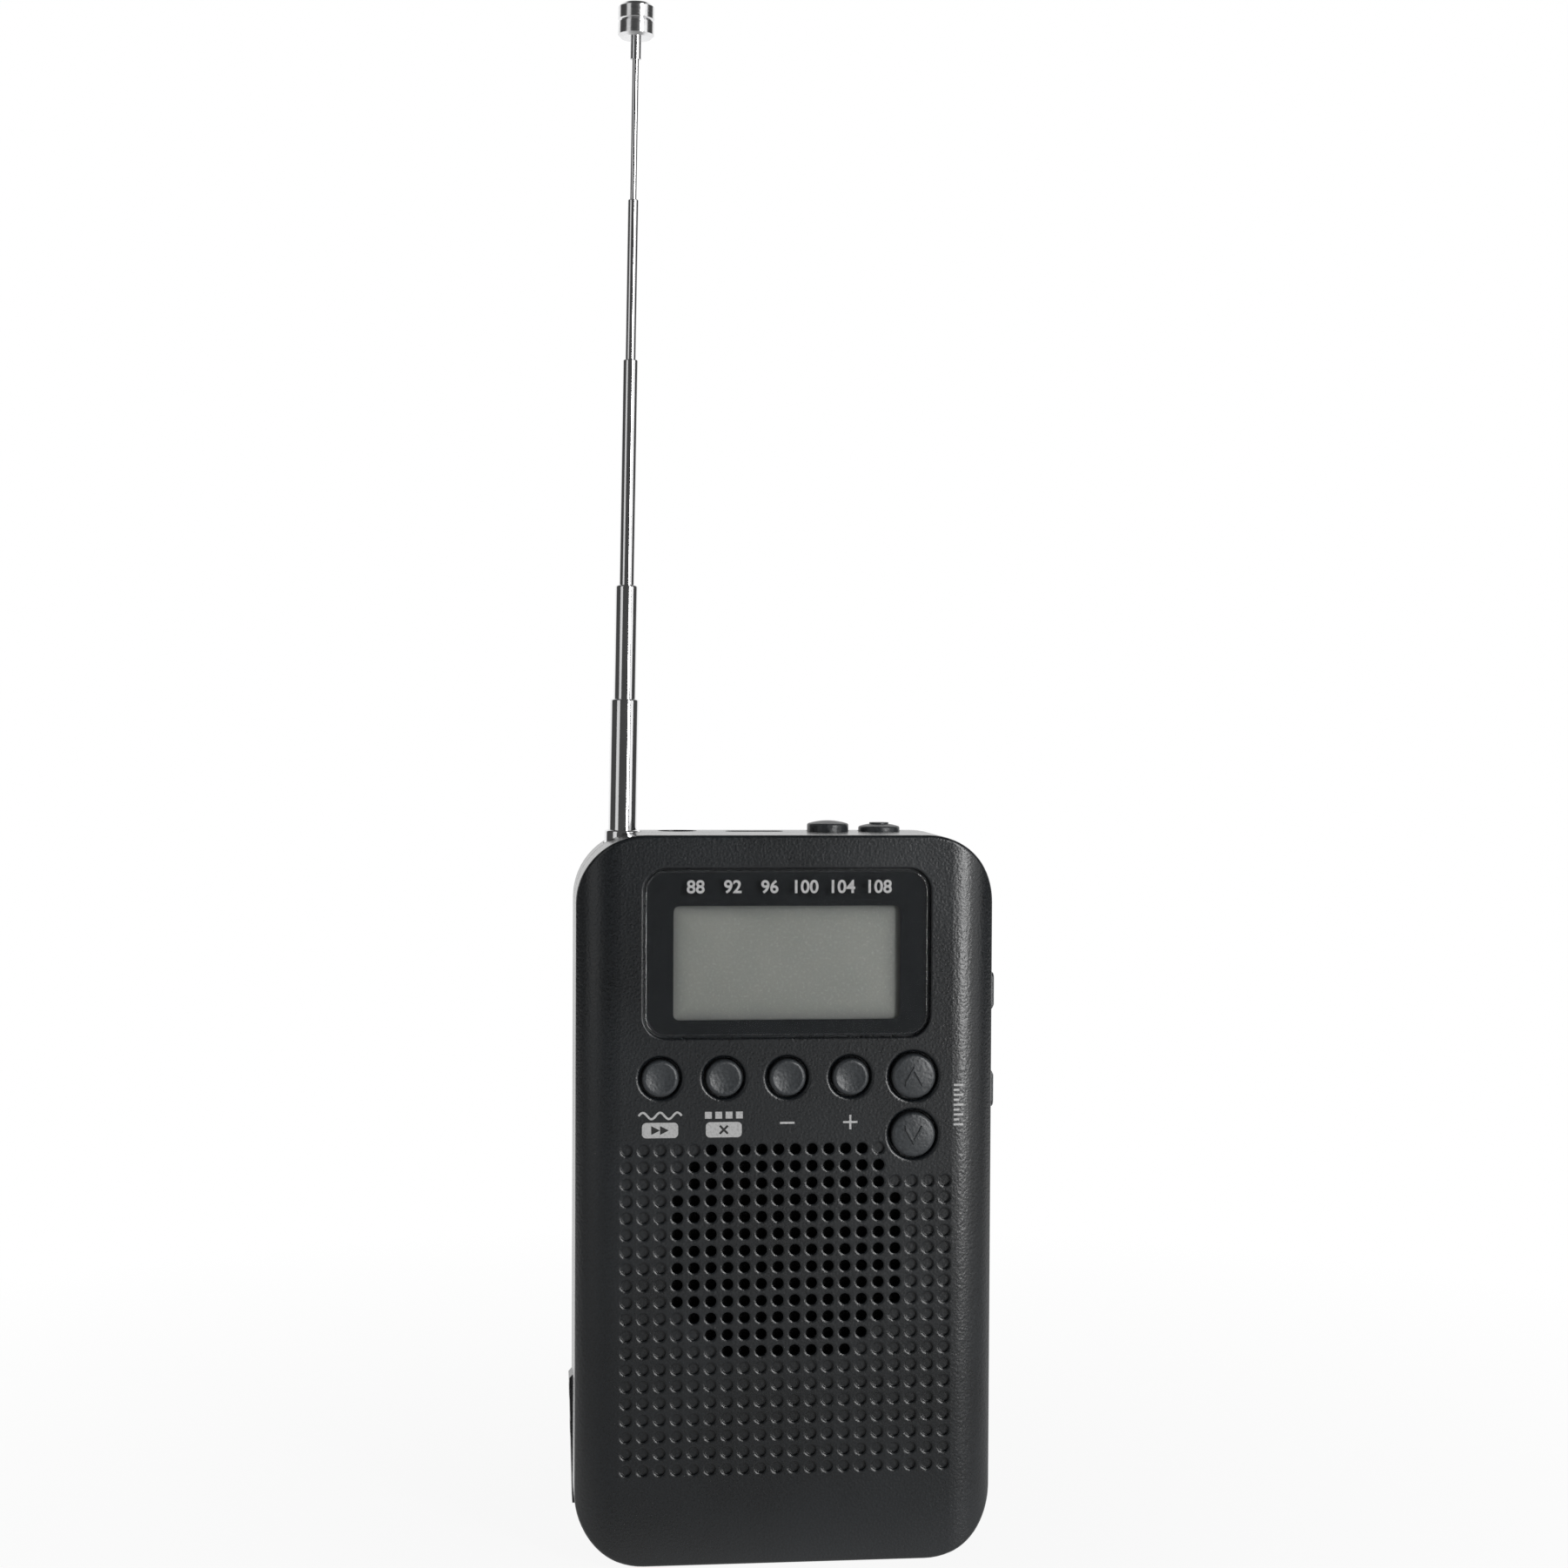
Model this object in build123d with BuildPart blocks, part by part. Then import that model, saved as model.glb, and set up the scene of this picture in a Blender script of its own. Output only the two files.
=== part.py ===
from build123d import *
import os
from math import atan2, cos, degrees, radians, sin, sqrt, tan

# A pocket radio that stands upright on its bottom end.
# Lengths are in millimetres. X runs to the right seen from the front, Y from front to back, Z up.
# The origin is the middle of the bottom face. A depth is measured backwards from the front face.

# Body
body_width = 55.0
body_height = 95.5
body_depth = 18.0
corner_radius = 9.0
wall = 1.8
parting_depth = 9.4
crown_width = 5.75
crown_drop = 2.8
crown_overrun = 0.5
front_edge_radius = 0.5
rear_edge_radius = 2.0
rear_inner_radius = 0.6
lip_height = 0.8
lip_thickness = 0.8
seat_gap = 0.1
parting_groove = 0.2

# Display
window_width = 37.7
window_height = 22.2
window_corner = 3.0
window_below_top = 15.4
window_pocket_depth = 1.2
window_gap = 0.3
window_sink = 0.1
window_rim = 0.2
mask_thickness = 0.1
mask_gap = 0.02
view_width = 29.8
view_height = 14.9
view_corner = 0.8
view_below_top = 16.7
view_margin = 0.8
lcd_border = 1.7
lcd_thickness = 2.0
lcd_gap = 0.2
holder_wall = 1.5
contact_strip_width = 1.6
contact_strip_inset = 0.5

# Keys on the front
key_pitch = 8.3
key_places = (-2, -1, 0, 1)
tune_place = 2
key_below_top = 31.6
key_radius = 2.4
tune_radius = 2.9
tune_flange_gap = 0.37
key_gap = 0.3
key_rim = 0.5
key_proud = 0.45
key_edge_radius = 0.45
key_dish_radius = 1.9
key_dish_depth = 0.24
tune_crown = 0.25
key_hold = 0.45
key_flange_thickness = 0.8
chevron_width = 2.2
chevron_rise = 1.95
chevron_stroke = 0.6
chevron_height = 0.12

# Buttons on the top and on the right side
edge_depth = 13.3
top_button_radius = 2.8
top_button_proud = 1.42
top_button_crown = 0.45
lock_button_proud = 1.05
top_button_x = 6.8
top_button_pitch = 7.0
side_button_length = 5.35
side_button_depth = 4.6
side_button_corner = 0.9
side_button_proud = 1.92
side_button_slope = 1.0
side_button_drop = 0.5
side_button_below_top = 21.8
side_button_pitch = 13.0
button_gap = 0.15
button_edge_radius = 0.3
button_hold = 0.3
button_flange_thickness = 1.0
lock_pad_radius = 1.3
lock_pad_height = 0.1

# Switches that the keys and buttons press
stem_radius = 0.8
stem_gap = 0.1
stem_entry = 0.4
well_depth = 1.2
key_switch_size = 4.5
key_switch_height = 3.0
edge_switch_width = 5.0
edge_switch_height = 4.6
edge_switch_length = 3.2
edge_switch_reach = 2.4

# Main board and what stands on it
board_depth = 9.6
board_thickness = 1.2
board_edge_gap = 1.4
board_antenna_gap = 0.43
board_below_keys = 10.4

# Sockets in the top
jack_x = -13.6
jack_bore_radius = 1.8
jack_bore_length = 12.0
jack_nose_radius = 2.5
jack_sink = 0.3
jack_width = 6.2
jack_length = 12.0
jack_back_gap = 0.4
usb_x = -3.3
usb_width = 7.5
usb_height = 2.7
usb_length = 5.4
usb_corner = 1.0
usb_wall = 0.3
usb_sink = 0.6
tongue_width = 5.4
tongue_thickness = 0.7
tongue_length = 4.0
socket_gap = 0.15

# Speaker grille: a square field of holes, open over the speaker and blind elsewhere
grille_count = 20
grille_pitch = 2.2
grille_bottom_z = 12.7
grille_hole_radius = 0.72
grille_dimple_depth = 0.5
grille_rim = 0.2
grille_rim_depth = 0.075
grille_open_inset = 1.92
grille_open_row = 5.7
grille_clear_side = 3.5
grille_clear_below = 5.0

# Speaker
cloth_thickness = 0.2
gasket_thickness = 0.5
gasket_width = 2.4
speaker_radius = 18.0
speaker_flange = 0.8
speaker_depth = 4.5
magnet_radius = 8.0
magnet_thickness = 2.7
pole_radius = 3.5
basket_sheet = 0.6
cone_thickness = 0.3
cone_edge_gap = 0.05
cone_cap_margin = 1.0
speaker_rib_thickness = 0.8
speaker_rib_height = 1.3
speaker_screw_angles = (10, 170, 270)
speaker_screw_out = 2.2
speaker_screw_boss = 1.6
speaker_screw_radius = 0.9
speaker_screw_head = 2.6
speaker_screw_head_thickness = 0.8
speaker_screw_length = 2.0
terminal_width = 7.0
terminal_height = 1.1
terminal_thickness = 0.6
terminal_in = 1.6

# Ferrite aerial rod
rod_radius = 2.5
rod_length = 42.0
rod_z = 13.5
rod_depth = 6.0
rod_gap = 0.05
coil_thickness = 0.8
coil_length = 15.0
cradle_x = 16.0
cradle_thickness = 1.2
cradle_arm = 1.2

# Battery, its bay and its door
battery_width = 34.0
battery_height = 44.0
battery_thickness = 5.4
battery_corner = 1.5
battery_gap = 0.3
bay_bottom_z = 4.4
bay_wall = 0.8
contact_block_width = 20.0
contact_block_height = 2.4
contact_block_depth = 4.6
contact_pitch = 5.0
contact_width = 1.6
contact_length = 3.0
contact_rise = 0.25
door_thickness = 1.4
door_skin = 0.7
door_rail = 0.7
door_gap = 0.15
door_margin = 0.9
door_foot_z = 0.3
grip_count = 5
grip_pitch = 1.8
grip_width = 14.0
grip_groove = 0.8
grip_groove_depth = 0.4
grip_below_door_top = 7.0
arrow_radius = 2.4
arrow_below_grip = 8.0

# Ramp with a strap slot on the left side
ramp_top_z = 22.7
ramp_bottom_z = 5.4
ramp_rise = 0.45
ramp_crest = 0.5
ramp_depth = 13.2
ramp_width = 4.0
strap_slot_width = 2.4
strap_slot_height = 2.0
strap_slot_below_top = 2.6
strap_bar = 3.0

# Screws
screw_radius = 1.0
screw_gap = 0.03
case_screw_bite = 4.4
case_head_radius = 1.9
case_head_thickness = 1.2
case_bore_gap = 0.2
case_bore_depth = 2.0
case_clear_radius = 1.2
case_post_radius = 2.6
boss_radius = 2.0
boss_gap = 0.19
board_screw_length = 5.0
board_head_radius = 1.8
board_head_thickness = 1.2
cross_width = 0.5
cross_length = 2.2
cross_depth = 0.6
corner_screw_in = 3.9
corner_screw_up = 4.4
top_screw_in = 4.5
top_screw_down = 5.3
middle_screw_in = 11.9
middle_screw_below = 2.3
board_screw_right_in = 5.5
board_screw_above_keys = 3.0
board_screw_beside = 3.3

# Telescopic antenna
antenna_in = 6.47
antenna_depth = 12.0
antenna_lean = 0.794
antenna_rise = 0.2
antenna_foot_z = 15.7
base_diameter = 4.8
base_wall = 0.2
section_diameters = (3.8, 3.0, 2.05, 1.45, 0.9)
section_walls = (0.2, 0.2, 0.13, 0.12)
section_drawn = (17.45, 15.2, 29.97, 21.22, 18.52)
section_first_short = 4.0
section_step = 3.0
neck_length = 0.8
neck_gap = 0.05
rim_share = 0.7
bush_length = 4.0
bush_gap = 0.05
sleeve_gap = 0.02
tip_radius = 2.4
tip_height = 4.45
tip_chamfer = 0.4
tip_groove = 0.22
tip_neck_radius = 0.73
tip_neck_length = 2.8
tip_socket_depth = 5.0
plug_length = 2.5
passage_gap = 0.15
saddle_z = 27.0
saddle_thickness = 1.4
clamp_below_mouth = 26.0
clamp_width = 4.0
clamp_band = 0.45
clamp_gap = 0.1
clamp_ear_length = 4.6
clamp_ear_thickness = 0.6
clamp_ear_behind = 1.0
clamp_boss_radius = 1.8
clamp_screw_length = 3.6

# Leads inside the body
lead_radius = 0.25
lead_bend_share = 0.45
antenna_lead_reach = 3.0
speaker_lead_spread = 2.2
speaker_lead_sag = 0.8
speaker_lead_up = 4.6
battery_lead_spread = 4.0
battery_lead_in = 2.05
battery_lead_up = 2.9
battery_lead_hole = 0.6

# Chips, crystal and capacitors on the back of the board: place, size along X, Z and Y
chip_sizes = (
    (-7.5, 18.5, 6.0, 6.0, 1.0),
    (5.0, 18.0, 10.0, 10.0, 1.2),
    (9.5, 32.5, 5.0, 4.0, 1.5),
    (-6.5, 26.0, 7.0, 2.6, 2.2),
)
capacitor_places = ((-3.0, 31.5), (2.5, 31.5))
capacitor_radius = 2.0
capacitor_height = 4.6

# Places and sizes that follow from the values above
front_y = -body_depth / 2
half_width = body_width / 2
crown_radius = (crown_width**2 + crown_drop**2) / (2 * crown_drop)
window_z = body_height - window_below_top
view_z = body_height - view_below_top
key_z = body_height - key_below_top
key_flange_radius = key_radius + key_gap + key_hold
tune_flange_radius = tune_radius + key_gap + key_hold
tune_x = tune_place * key_pitch
tune_down_z = key_z - 2 * tune_flange_radius - tune_flange_gap
key_points = [(place * key_pitch, key_z) for place in key_places]
tune_points = [(tune_x, key_z), (tune_x, tune_down_z)]
lcd_depth = wall + lcd_gap
base_radius = base_diameter / 2
board_back = board_depth + board_thickness
board_left_x = antenna_in - half_width + base_radius + board_antenna_gap
board_right_x = half_width - wall - board_edge_gap
board_top_z = body_height - wall - board_edge_gap
board_bottom_z = key_z - board_below_keys
inner_back = body_depth - wall

edge_y = front_y + edge_depth
edge_stem_top = wall + seat_gap + button_flange_thickness
edge_switch_top = edge_stem_top + edge_switch_reach
button_flange_depth = 2 * (inner_back - rear_inner_radius - seat_gap - edge_depth)

grille_open_radius = speaker_radius - grille_open_inset
speaker_z = grille_bottom_z + (grille_count - 1 - grille_open_row) * grille_pitch
cloth_back = wall + cloth_thickness
gasket_back = cloth_back + gasket_thickness
flange_back = gasket_back + speaker_flange
basket_back = gasket_back + speaker_depth
speaker_screw_circle = speaker_radius + speaker_screw_out
speaker_screw_points = [
    (speaker_screw_circle * cos(radians(angle)), speaker_z + speaker_screw_circle * sin(radians(angle)))
    for angle in speaker_screw_angles
]

bay_half = battery_width / 2 + battery_gap
battery_z = bay_bottom_z + battery_gap + battery_height / 2
battery_top_z = battery_z + battery_height / 2
contact_block_z = battery_top_z + battery_gap
bay_top_z = contact_block_z + contact_block_height
door_front = body_depth - door_thickness
battery_front = door_front - battery_gap / 2 - battery_thickness
bay_floor_back = battery_front - seat_gap
bay_floor_front = bay_floor_back - bay_wall
battery_lead_y = front_y + bay_floor_back + battery_lead_in
door_half = bay_half + door_margin
door_top_z = bay_top_z + bay_wall + door_margin

board_screw_reach = key_flange_radius + boss_radius + boss_gap
board_screw_drop = sqrt(board_screw_reach**2 - board_screw_beside**2)
board_screw_points = [
    (half_width - board_screw_right_in, key_z + board_screw_above_keys),
    (key_points[1][0] - board_screw_beside, key_z - board_screw_drop),
]
bottom_screw_points = [
    (side * (half_width - wall - corner_screw_in), wall + corner_screw_up) for side in (-1, 1)
]
upper_screw_points = [
    (half_width - wall - top_screw_in, body_height - wall - top_screw_down),
    (middle_screw_in - half_width, board_screw_points[1][1] - middle_screw_below),
]
case_head_seat = body_depth - case_bore_depth
case_screw_length = case_head_seat - parting_depth + case_screw_bite

lean = radians(antenna_lean)
antenna_plane = Plane(
    origin=(antenna_in - half_width, front_y + antenna_depth, body_height + antenna_rise),
    x_dir=(cos(lean), 0, -sin(lean)),
    z_dir=(sin(lean), 0, cos(lean)),
)
antenna_axis = Axis(antenna_plane.origin, antenna_plane.z_dir)
base_length = (body_height + antenna_rise - antenna_foot_z) / cos(lean)
section_tops = [sum(section_drawn[: place + 1]) for place in range(len(section_drawn))]
section_lengths = [
    base_length - section_first_short - section_step * place for place in range(len(section_drawn))
]
clamp_ring = base_radius + clamp_gap + clamp_band
clamp_ear_end = clamp_ring + clamp_ear_length
clamp_hole_x = clamp_ring + clamp_ear_length / 2
clamp_ear_back = antenna_depth + clamp_ear_behind
clamp_ear_front = clamp_ear_back - clamp_ear_thickness
clamp_middle = clamp_below_mouth - clamp_width / 2
clamp_hole = antenna_plane.from_local_coords((clamp_hole_x, 0, -clamp_middle))
clamp_hole_point = (clamp_hole.X, clamp_hole.Z)


def at_depth(depth):
    """Plane seen from the front at a depth: its X and Y run along the body's X and Z."""
    return Plane.XZ.offset(body_depth / 2 - depth)


def crowned_section(inset):
    """Section across the body, pulled in by inset: a flat front whose two sides curve back past the body."""
    radius = crown_radius - inset
    reach = crown_width - inset + crown_overrun
    bend_y = front_y + inset + radius - sqrt(radius**2 - reach**2)
    flat = half_width - crown_width
    side = flat + reach
    with BuildSketch() as section:
        with BuildLine():
            front = Line((-flat, front_y + inset), (flat, front_y + inset))
            TangentArc(front @ 1, (side, bend_y), tangent=front % 1)
            TangentArc(front @ 0, (-side, bend_y), tangent=(-1, 0))
            Polyline((side, bend_y), (side, body_depth / 2), (-side, body_depth / 2), (-side, bend_y))
        make_face()
    return section.sketch


def shell_form(inset, near, far):
    """The body's outline and crowned front, pulled in by inset, between two depths."""
    section = crowned_section(inset)
    with BuildPart() as form:
        with BuildSketch(at_depth(near)):
            with Locations((0, body_height / 2)):
                RectangleRounded(body_width - 2 * inset, body_height - 2 * inset, corner_radius - inset)
        extrude(amount=near - far)
        with BuildSketch():
            add(section)
        extrude(amount=body_height, mode=Mode.INTERSECT)
    return form.part


def tray_form(inset, edge_radius):
    """The rear half of the body, pulled in by inset, with its back edges rounded."""
    with BuildPart() as form:
        with BuildSketch(at_depth(parting_depth)):
            with Locations((0, body_height / 2)):
                RectangleRounded(body_width - 2 * inset, body_height - 2 * inset, corner_radius - inset)
        extrude(amount=parting_depth + inset - body_depth)
        fillet(form.faces().sort_by(Axis.Y)[-1].edges(), edge_radius)
    return form.part


def grille_points(wanted_open):
    """Places of the open holes, or of the blind ones, leaving room round the tuning keys."""
    points = []
    for row in range(grille_count):
        for column in range(grille_count):
            x = (column - (grille_count - 1) / 2) * grille_pitch
            z = grille_bottom_z + (grille_count - 1 - row) * grille_pitch
            by_keys = x > tune_x - grille_clear_side and z > tune_down_z - grille_clear_below
            is_open = x**2 + (z - speaker_z) ** 2 <= grille_open_radius**2
            if not by_keys and is_open == wanted_open:
                points.append((x, z))
    return points


def keep(part, name):
    """Label a finished piece and write it to its own file."""
    part.label = name
    export_step(part, f"parts/{name}.step")


os.makedirs("parts", exist_ok=True)

# Planes on the outer face at each button on the top and on the right side, facing outwards
top_planes = [
    Plane(origin=(top_button_x + place * top_button_pitch, edge_y, body_height), x_dir=(1, 0, 0))
    for place in range(2)
]
side_planes = [
    Plane(
        origin=(half_width, edge_y, body_height - side_button_below_top - place * side_button_pitch),
        x_dir=(0, 0, -1),
        z_dir=(1, 0, 0),
    )
    for place in range(2)
]

# Front shell
with BuildPart() as front_outer:
    add(shell_form(0, 0, parting_depth))
    level = front_outer.edges().filter_by(Axis.X).group_by(Axis.Y)[0]
    fillet(level, front_edge_radius)
front_cavity = shell_form(wall, wall, parting_depth)
lip_outer = shell_form(wall - lip_thickness, parting_depth, parting_depth + lip_height)
lip_inner = shell_form(wall, parting_depth, parting_depth + lip_height)
upper_boss_end = board_depth - seat_gap
with BuildPart() as front_shell:
    add(front_outer.part)
    add(front_cavity, mode=Mode.SUBTRACT)
    add(lip_outer)
    add(lip_inner, mode=Mode.SUBTRACT)
    with BuildSketch(antenna_plane.offset(-base_length)):
        Circle(base_radius + passage_gap)
    extrude(amount=base_length + corner_radius, mode=Mode.SUBTRACT)
    # Screw bosses
    with BuildSketch(at_depth(wall)):
        with Locations(*bottom_screw_points):
            Circle(boss_radius)
    extrude(amount=wall - parting_depth)
    with BuildSketch(at_depth(wall)):
        with Locations(*upper_screw_points, *board_screw_points):
            Circle(boss_radius)
    extrude(amount=wall - upper_boss_end)
    with BuildSketch(at_depth(case_head_seat)):
        with Locations(*bottom_screw_points, *upper_screw_points):
            Circle(screw_radius + screw_gap)
    extrude(amount=case_screw_length + seat_gap, mode=Mode.SUBTRACT)
    with BuildSketch(at_depth(board_back)):
        with Locations(*board_screw_points):
            Circle(screw_radius + screw_gap)
    extrude(amount=board_screw_length + seat_gap, mode=Mode.SUBTRACT)
    # Rib round the speaker, with a break beside each key that reaches into it, and its screw bosses
    with BuildSketch(at_depth(wall)):
        with Locations((0, speaker_z)):
            Circle(speaker_radius + 2 * seat_gap + speaker_rib_thickness)
            Circle(speaker_radius + 2 * seat_gap, mode=Mode.SUBTRACT)
        with Locations(*key_points):
            Circle(key_flange_radius + key_gap, mode=Mode.SUBTRACT)
        with Locations(*tune_points):
            Circle(tune_flange_radius + key_gap, mode=Mode.SUBTRACT)
    extrude(amount=-speaker_rib_height)
    with BuildSketch(at_depth(wall)):
        with Locations(*speaker_screw_points):
            Circle(speaker_screw_boss)
    extrude(amount=wall - flange_back)
    with BuildSketch(at_depth(flange_back)):
        with Locations(*speaker_screw_points):
            Circle(speaker_screw_radius + screw_gap)
    extrude(amount=speaker_screw_length + seat_gap, mode=Mode.SUBTRACT)
    # Two cradles for the ferrite rod
    with BuildSketch(at_depth(wall)):
        with Locations((-cradle_x, rod_z), (cradle_x, rod_z)):
            Rectangle(cradle_thickness, 2 * (rod_radius + cradle_arm))
    extrude(amount=wall - rod_depth)
    with BuildSketch(Plane.YZ.offset(-rod_length / 2)):
        with Locations((front_y + rod_depth, rod_z)):
            Circle(rod_radius + rod_gap)
    extrude(amount=rod_length, mode=Mode.SUBTRACT)
    # Seat of the window and the opening behind it
    with BuildSketch(at_depth(0)):
        with Locations((0, window_z)):
            RectangleRounded(window_width, window_height, window_corner)
    extrude(amount=-window_pocket_depth, mode=Mode.SUBTRACT)
    front_edges = front_shell.edges().filter_by_position(Axis.Y, front_y - seat_gap, front_y + seat_gap)
    window_reach = window_height / 2 + seat_gap
    window_edges = front_edges.filter_by_position(Axis.Z, window_z - window_reach, window_z + window_reach)
    fillet(window_edges, window_rim)
    with BuildSketch(at_depth(0)):
        with Locations((0, view_z)):
            RectangleRounded(view_width + 2 * view_margin, view_height + 2 * view_margin, view_corner)
    extrude(amount=-wall, mode=Mode.SUBTRACT)
    # Key holes with a rounded rim
    with BuildSketch(at_depth(0)):
        with Locations(*key_points):
            Circle(key_radius + key_gap)
        with Locations(*tune_points):
            Circle(tune_radius + key_gap)
    extrude(amount=-wall, mode=Mode.SUBTRACT)
    front_circles = front_shell.edges().filter_by(GeomType.CIRCLE)
    key_rims = front_circles.filter_by_position(Axis.Y, front_y - seat_gap, front_y + seat_gap)
    fillet(key_rims.filter_by(lambda edge: edge.is_closed), key_rim)
    # Speaker grille, with a shallow countersink on every hole
    with BuildSketch(at_depth(0)):
        with Locations(*grille_points(True)):
            Circle(grille_hole_radius)
    extrude(amount=-wall, mode=Mode.SUBTRACT)
    with BuildSketch(at_depth(0)):
        with Locations(*grille_points(False)):
            Circle(grille_hole_radius)
    extrude(amount=-grille_dimple_depth, mode=Mode.SUBTRACT)
    with BuildSketch(at_depth(0)):
        with Locations(*grille_points(True), *grille_points(False)):
            Circle(grille_hole_radius + grille_rim)
    grille_rim_taper = degrees(atan2(grille_rim, grille_rim_depth))
    extrude(amount=-grille_rim_depth, taper=grille_rim_taper, mode=Mode.SUBTRACT)
keep(front_shell.part, "front_shell")

# Rear shell
rear_outer = tray_form(0, rear_edge_radius)
rear_cavity = tray_form(wall, rear_inner_radius)
lip_rebate = shell_form(
    wall - lip_thickness - seat_gap, parting_depth, parting_depth + lip_height + seat_gap
)
groove_core = shell_form(parting_groove, parting_depth, parting_depth + parting_groove)
with BuildPart() as groove_ring:
    add(shell_form(0, parting_depth, parting_depth + parting_groove))
    add(groove_core, mode=Mode.SUBTRACT)
with BuildPart() as rear_shell:
    add(rear_outer)
    add(groove_ring.part, mode=Mode.SUBTRACT)
    add(rear_cavity, mode=Mode.SUBTRACT)
    add(lip_rebate, mode=Mode.SUBTRACT)
    # Battery bay
    with BuildSketch(at_depth(inner_back)):
        with Locations((0, (bay_bottom_z + bay_top_z) / 2)):
            Rectangle(2 * (bay_half + bay_wall), bay_top_z - bay_bottom_z + 2 * bay_wall)
    extrude(amount=inner_back - bay_floor_front)
    with BuildSketch(at_depth(body_depth)):
        with Locations((0, (bay_bottom_z + bay_top_z) / 2)):
            Rectangle(2 * bay_half, bay_top_z - bay_bottom_z)
    extrude(amount=body_depth - bay_floor_back, mode=Mode.SUBTRACT)
    with BuildSketch(Plane.XY.offset(bay_top_z)):
        with Locations(*[(side * battery_lead_spread, battery_lead_y) for side in (-1, 1)]):
            Circle(battery_lead_hole)
    extrude(amount=bay_wall, mode=Mode.SUBTRACT)
    # Recess of the door, and the grooves that its rails slide in
    with BuildSketch(at_depth(body_depth)):
        with Locations((0, (door_top_z + door_gap) / 2)):
            Rectangle(2 * (door_half + door_gap), door_top_z + door_gap)
    extrude(amount=door_thickness + seat_gap, mode=Mode.SUBTRACT)
    with BuildSketch(at_depth(body_depth - door_skin + door_gap)):
        with Locations((0, (door_top_z + door_gap) / 2)):
            Rectangle(2 * (door_half + door_rail + door_gap), door_top_z + door_gap)
    extrude(amount=door_thickness - door_skin + door_gap + seat_gap, mode=Mode.SUBTRACT)
    # Screw posts
    with BuildSketch(at_depth(inner_back)):
        with Locations(*bottom_screw_points):
            Circle(case_post_radius)
    extrude(amount=inner_back - parting_depth - seat_gap)
    with BuildSketch(at_depth(inner_back)):
        with Locations(*upper_screw_points):
            Circle(case_post_radius)
    extrude(amount=inner_back - board_back - seat_gap)
    with BuildSketch(at_depth(body_depth)):
        with Locations(*bottom_screw_points, *upper_screw_points):
            Circle(case_head_radius + case_bore_gap)
    extrude(amount=case_bore_depth, mode=Mode.SUBTRACT)
    with BuildSketch(at_depth(body_depth)):
        with Locations(*bottom_screw_points, *upper_screw_points):
            Circle(case_clear_radius)
    extrude(amount=body_depth - parting_depth, mode=Mode.SUBTRACT)
    # Boss for the antenna clamp, and the saddle under the base tube
    with BuildSketch(at_depth(inner_back)):
        with Locations(clamp_hole_point):
            Circle(clamp_boss_radius)
    extrude(amount=inner_back - clamp_ear_back)
    with BuildSketch(at_depth(clamp_ear_front)):
        with Locations(clamp_hole_point):
            Circle(screw_radius + screw_gap)
    extrude(amount=-(clamp_screw_length + seat_gap), mode=Mode.SUBTRACT)
    with BuildSketch(at_depth(inner_back)):
        with Locations((-(half_width - wall + bay_half + bay_wall) / 2, saddle_z)):
            Rectangle(half_width - wall - bay_half - bay_wall, saddle_thickness)
    extrude(amount=inner_back - antenna_depth)
    with BuildSketch(antenna_plane.offset(-base_length)):
        Circle(base_radius + passage_gap)
    extrude(amount=base_length + corner_radius, mode=Mode.SUBTRACT)
    # Openings in the top
    with BuildSketch(Plane.XY.offset(body_height - 2 * wall)):
        with Locations((jack_x, edge_y)):
            Circle(jack_nose_radius + socket_gap)
        with Locations((usb_x, front_y + board_back + usb_height / 2)):
            RectangleRounded(usb_width + 2 * socket_gap, usb_height + 2 * socket_gap, usb_corner + socket_gap)
    extrude(amount=2 * wall, mode=Mode.SUBTRACT)
    for plane in top_planes:
        with BuildSketch(plane):
            Circle(top_button_radius + button_gap)
        extrude(amount=-2 * wall, mode=Mode.SUBTRACT)
    for plane in side_planes:
        with BuildSketch(plane):
            RectangleRounded(
                side_button_length + 2 * button_gap,
                side_button_depth + 2 * button_gap,
                side_button_corner + button_gap,
            )
        extrude(amount=-2 * wall, mode=Mode.SUBTRACT)
    # Ramp on the left side, with two slots that leave a bar for a strap
    with BuildSketch(at_depth(ramp_depth - ramp_width / 2)):
        with BuildLine():
            Polyline(
                (-half_width, ramp_bottom_z),
                (-half_width - ramp_rise, ramp_top_z - ramp_crest),
                (-half_width, ramp_top_z),
                (wall / 2 - half_width, ramp_top_z),
                (wall / 2 - half_width, ramp_bottom_z),
                close=True,
            )
        make_face()
    extrude(amount=-ramp_width)
    with BuildSketch(Plane.YZ.offset(-half_width - ramp_rise)):
        with Locations(
            (front_y + ramp_depth, ramp_top_z - strap_slot_below_top),
            (front_y + ramp_depth, ramp_top_z - strap_slot_below_top - strap_slot_height - strap_bar),
        ):
            Rectangle(strap_slot_width, strap_slot_height)
    extrude(amount=ramp_rise + wall, mode=Mode.SUBTRACT)
keep(rear_shell.part, "rear_shell")

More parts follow.
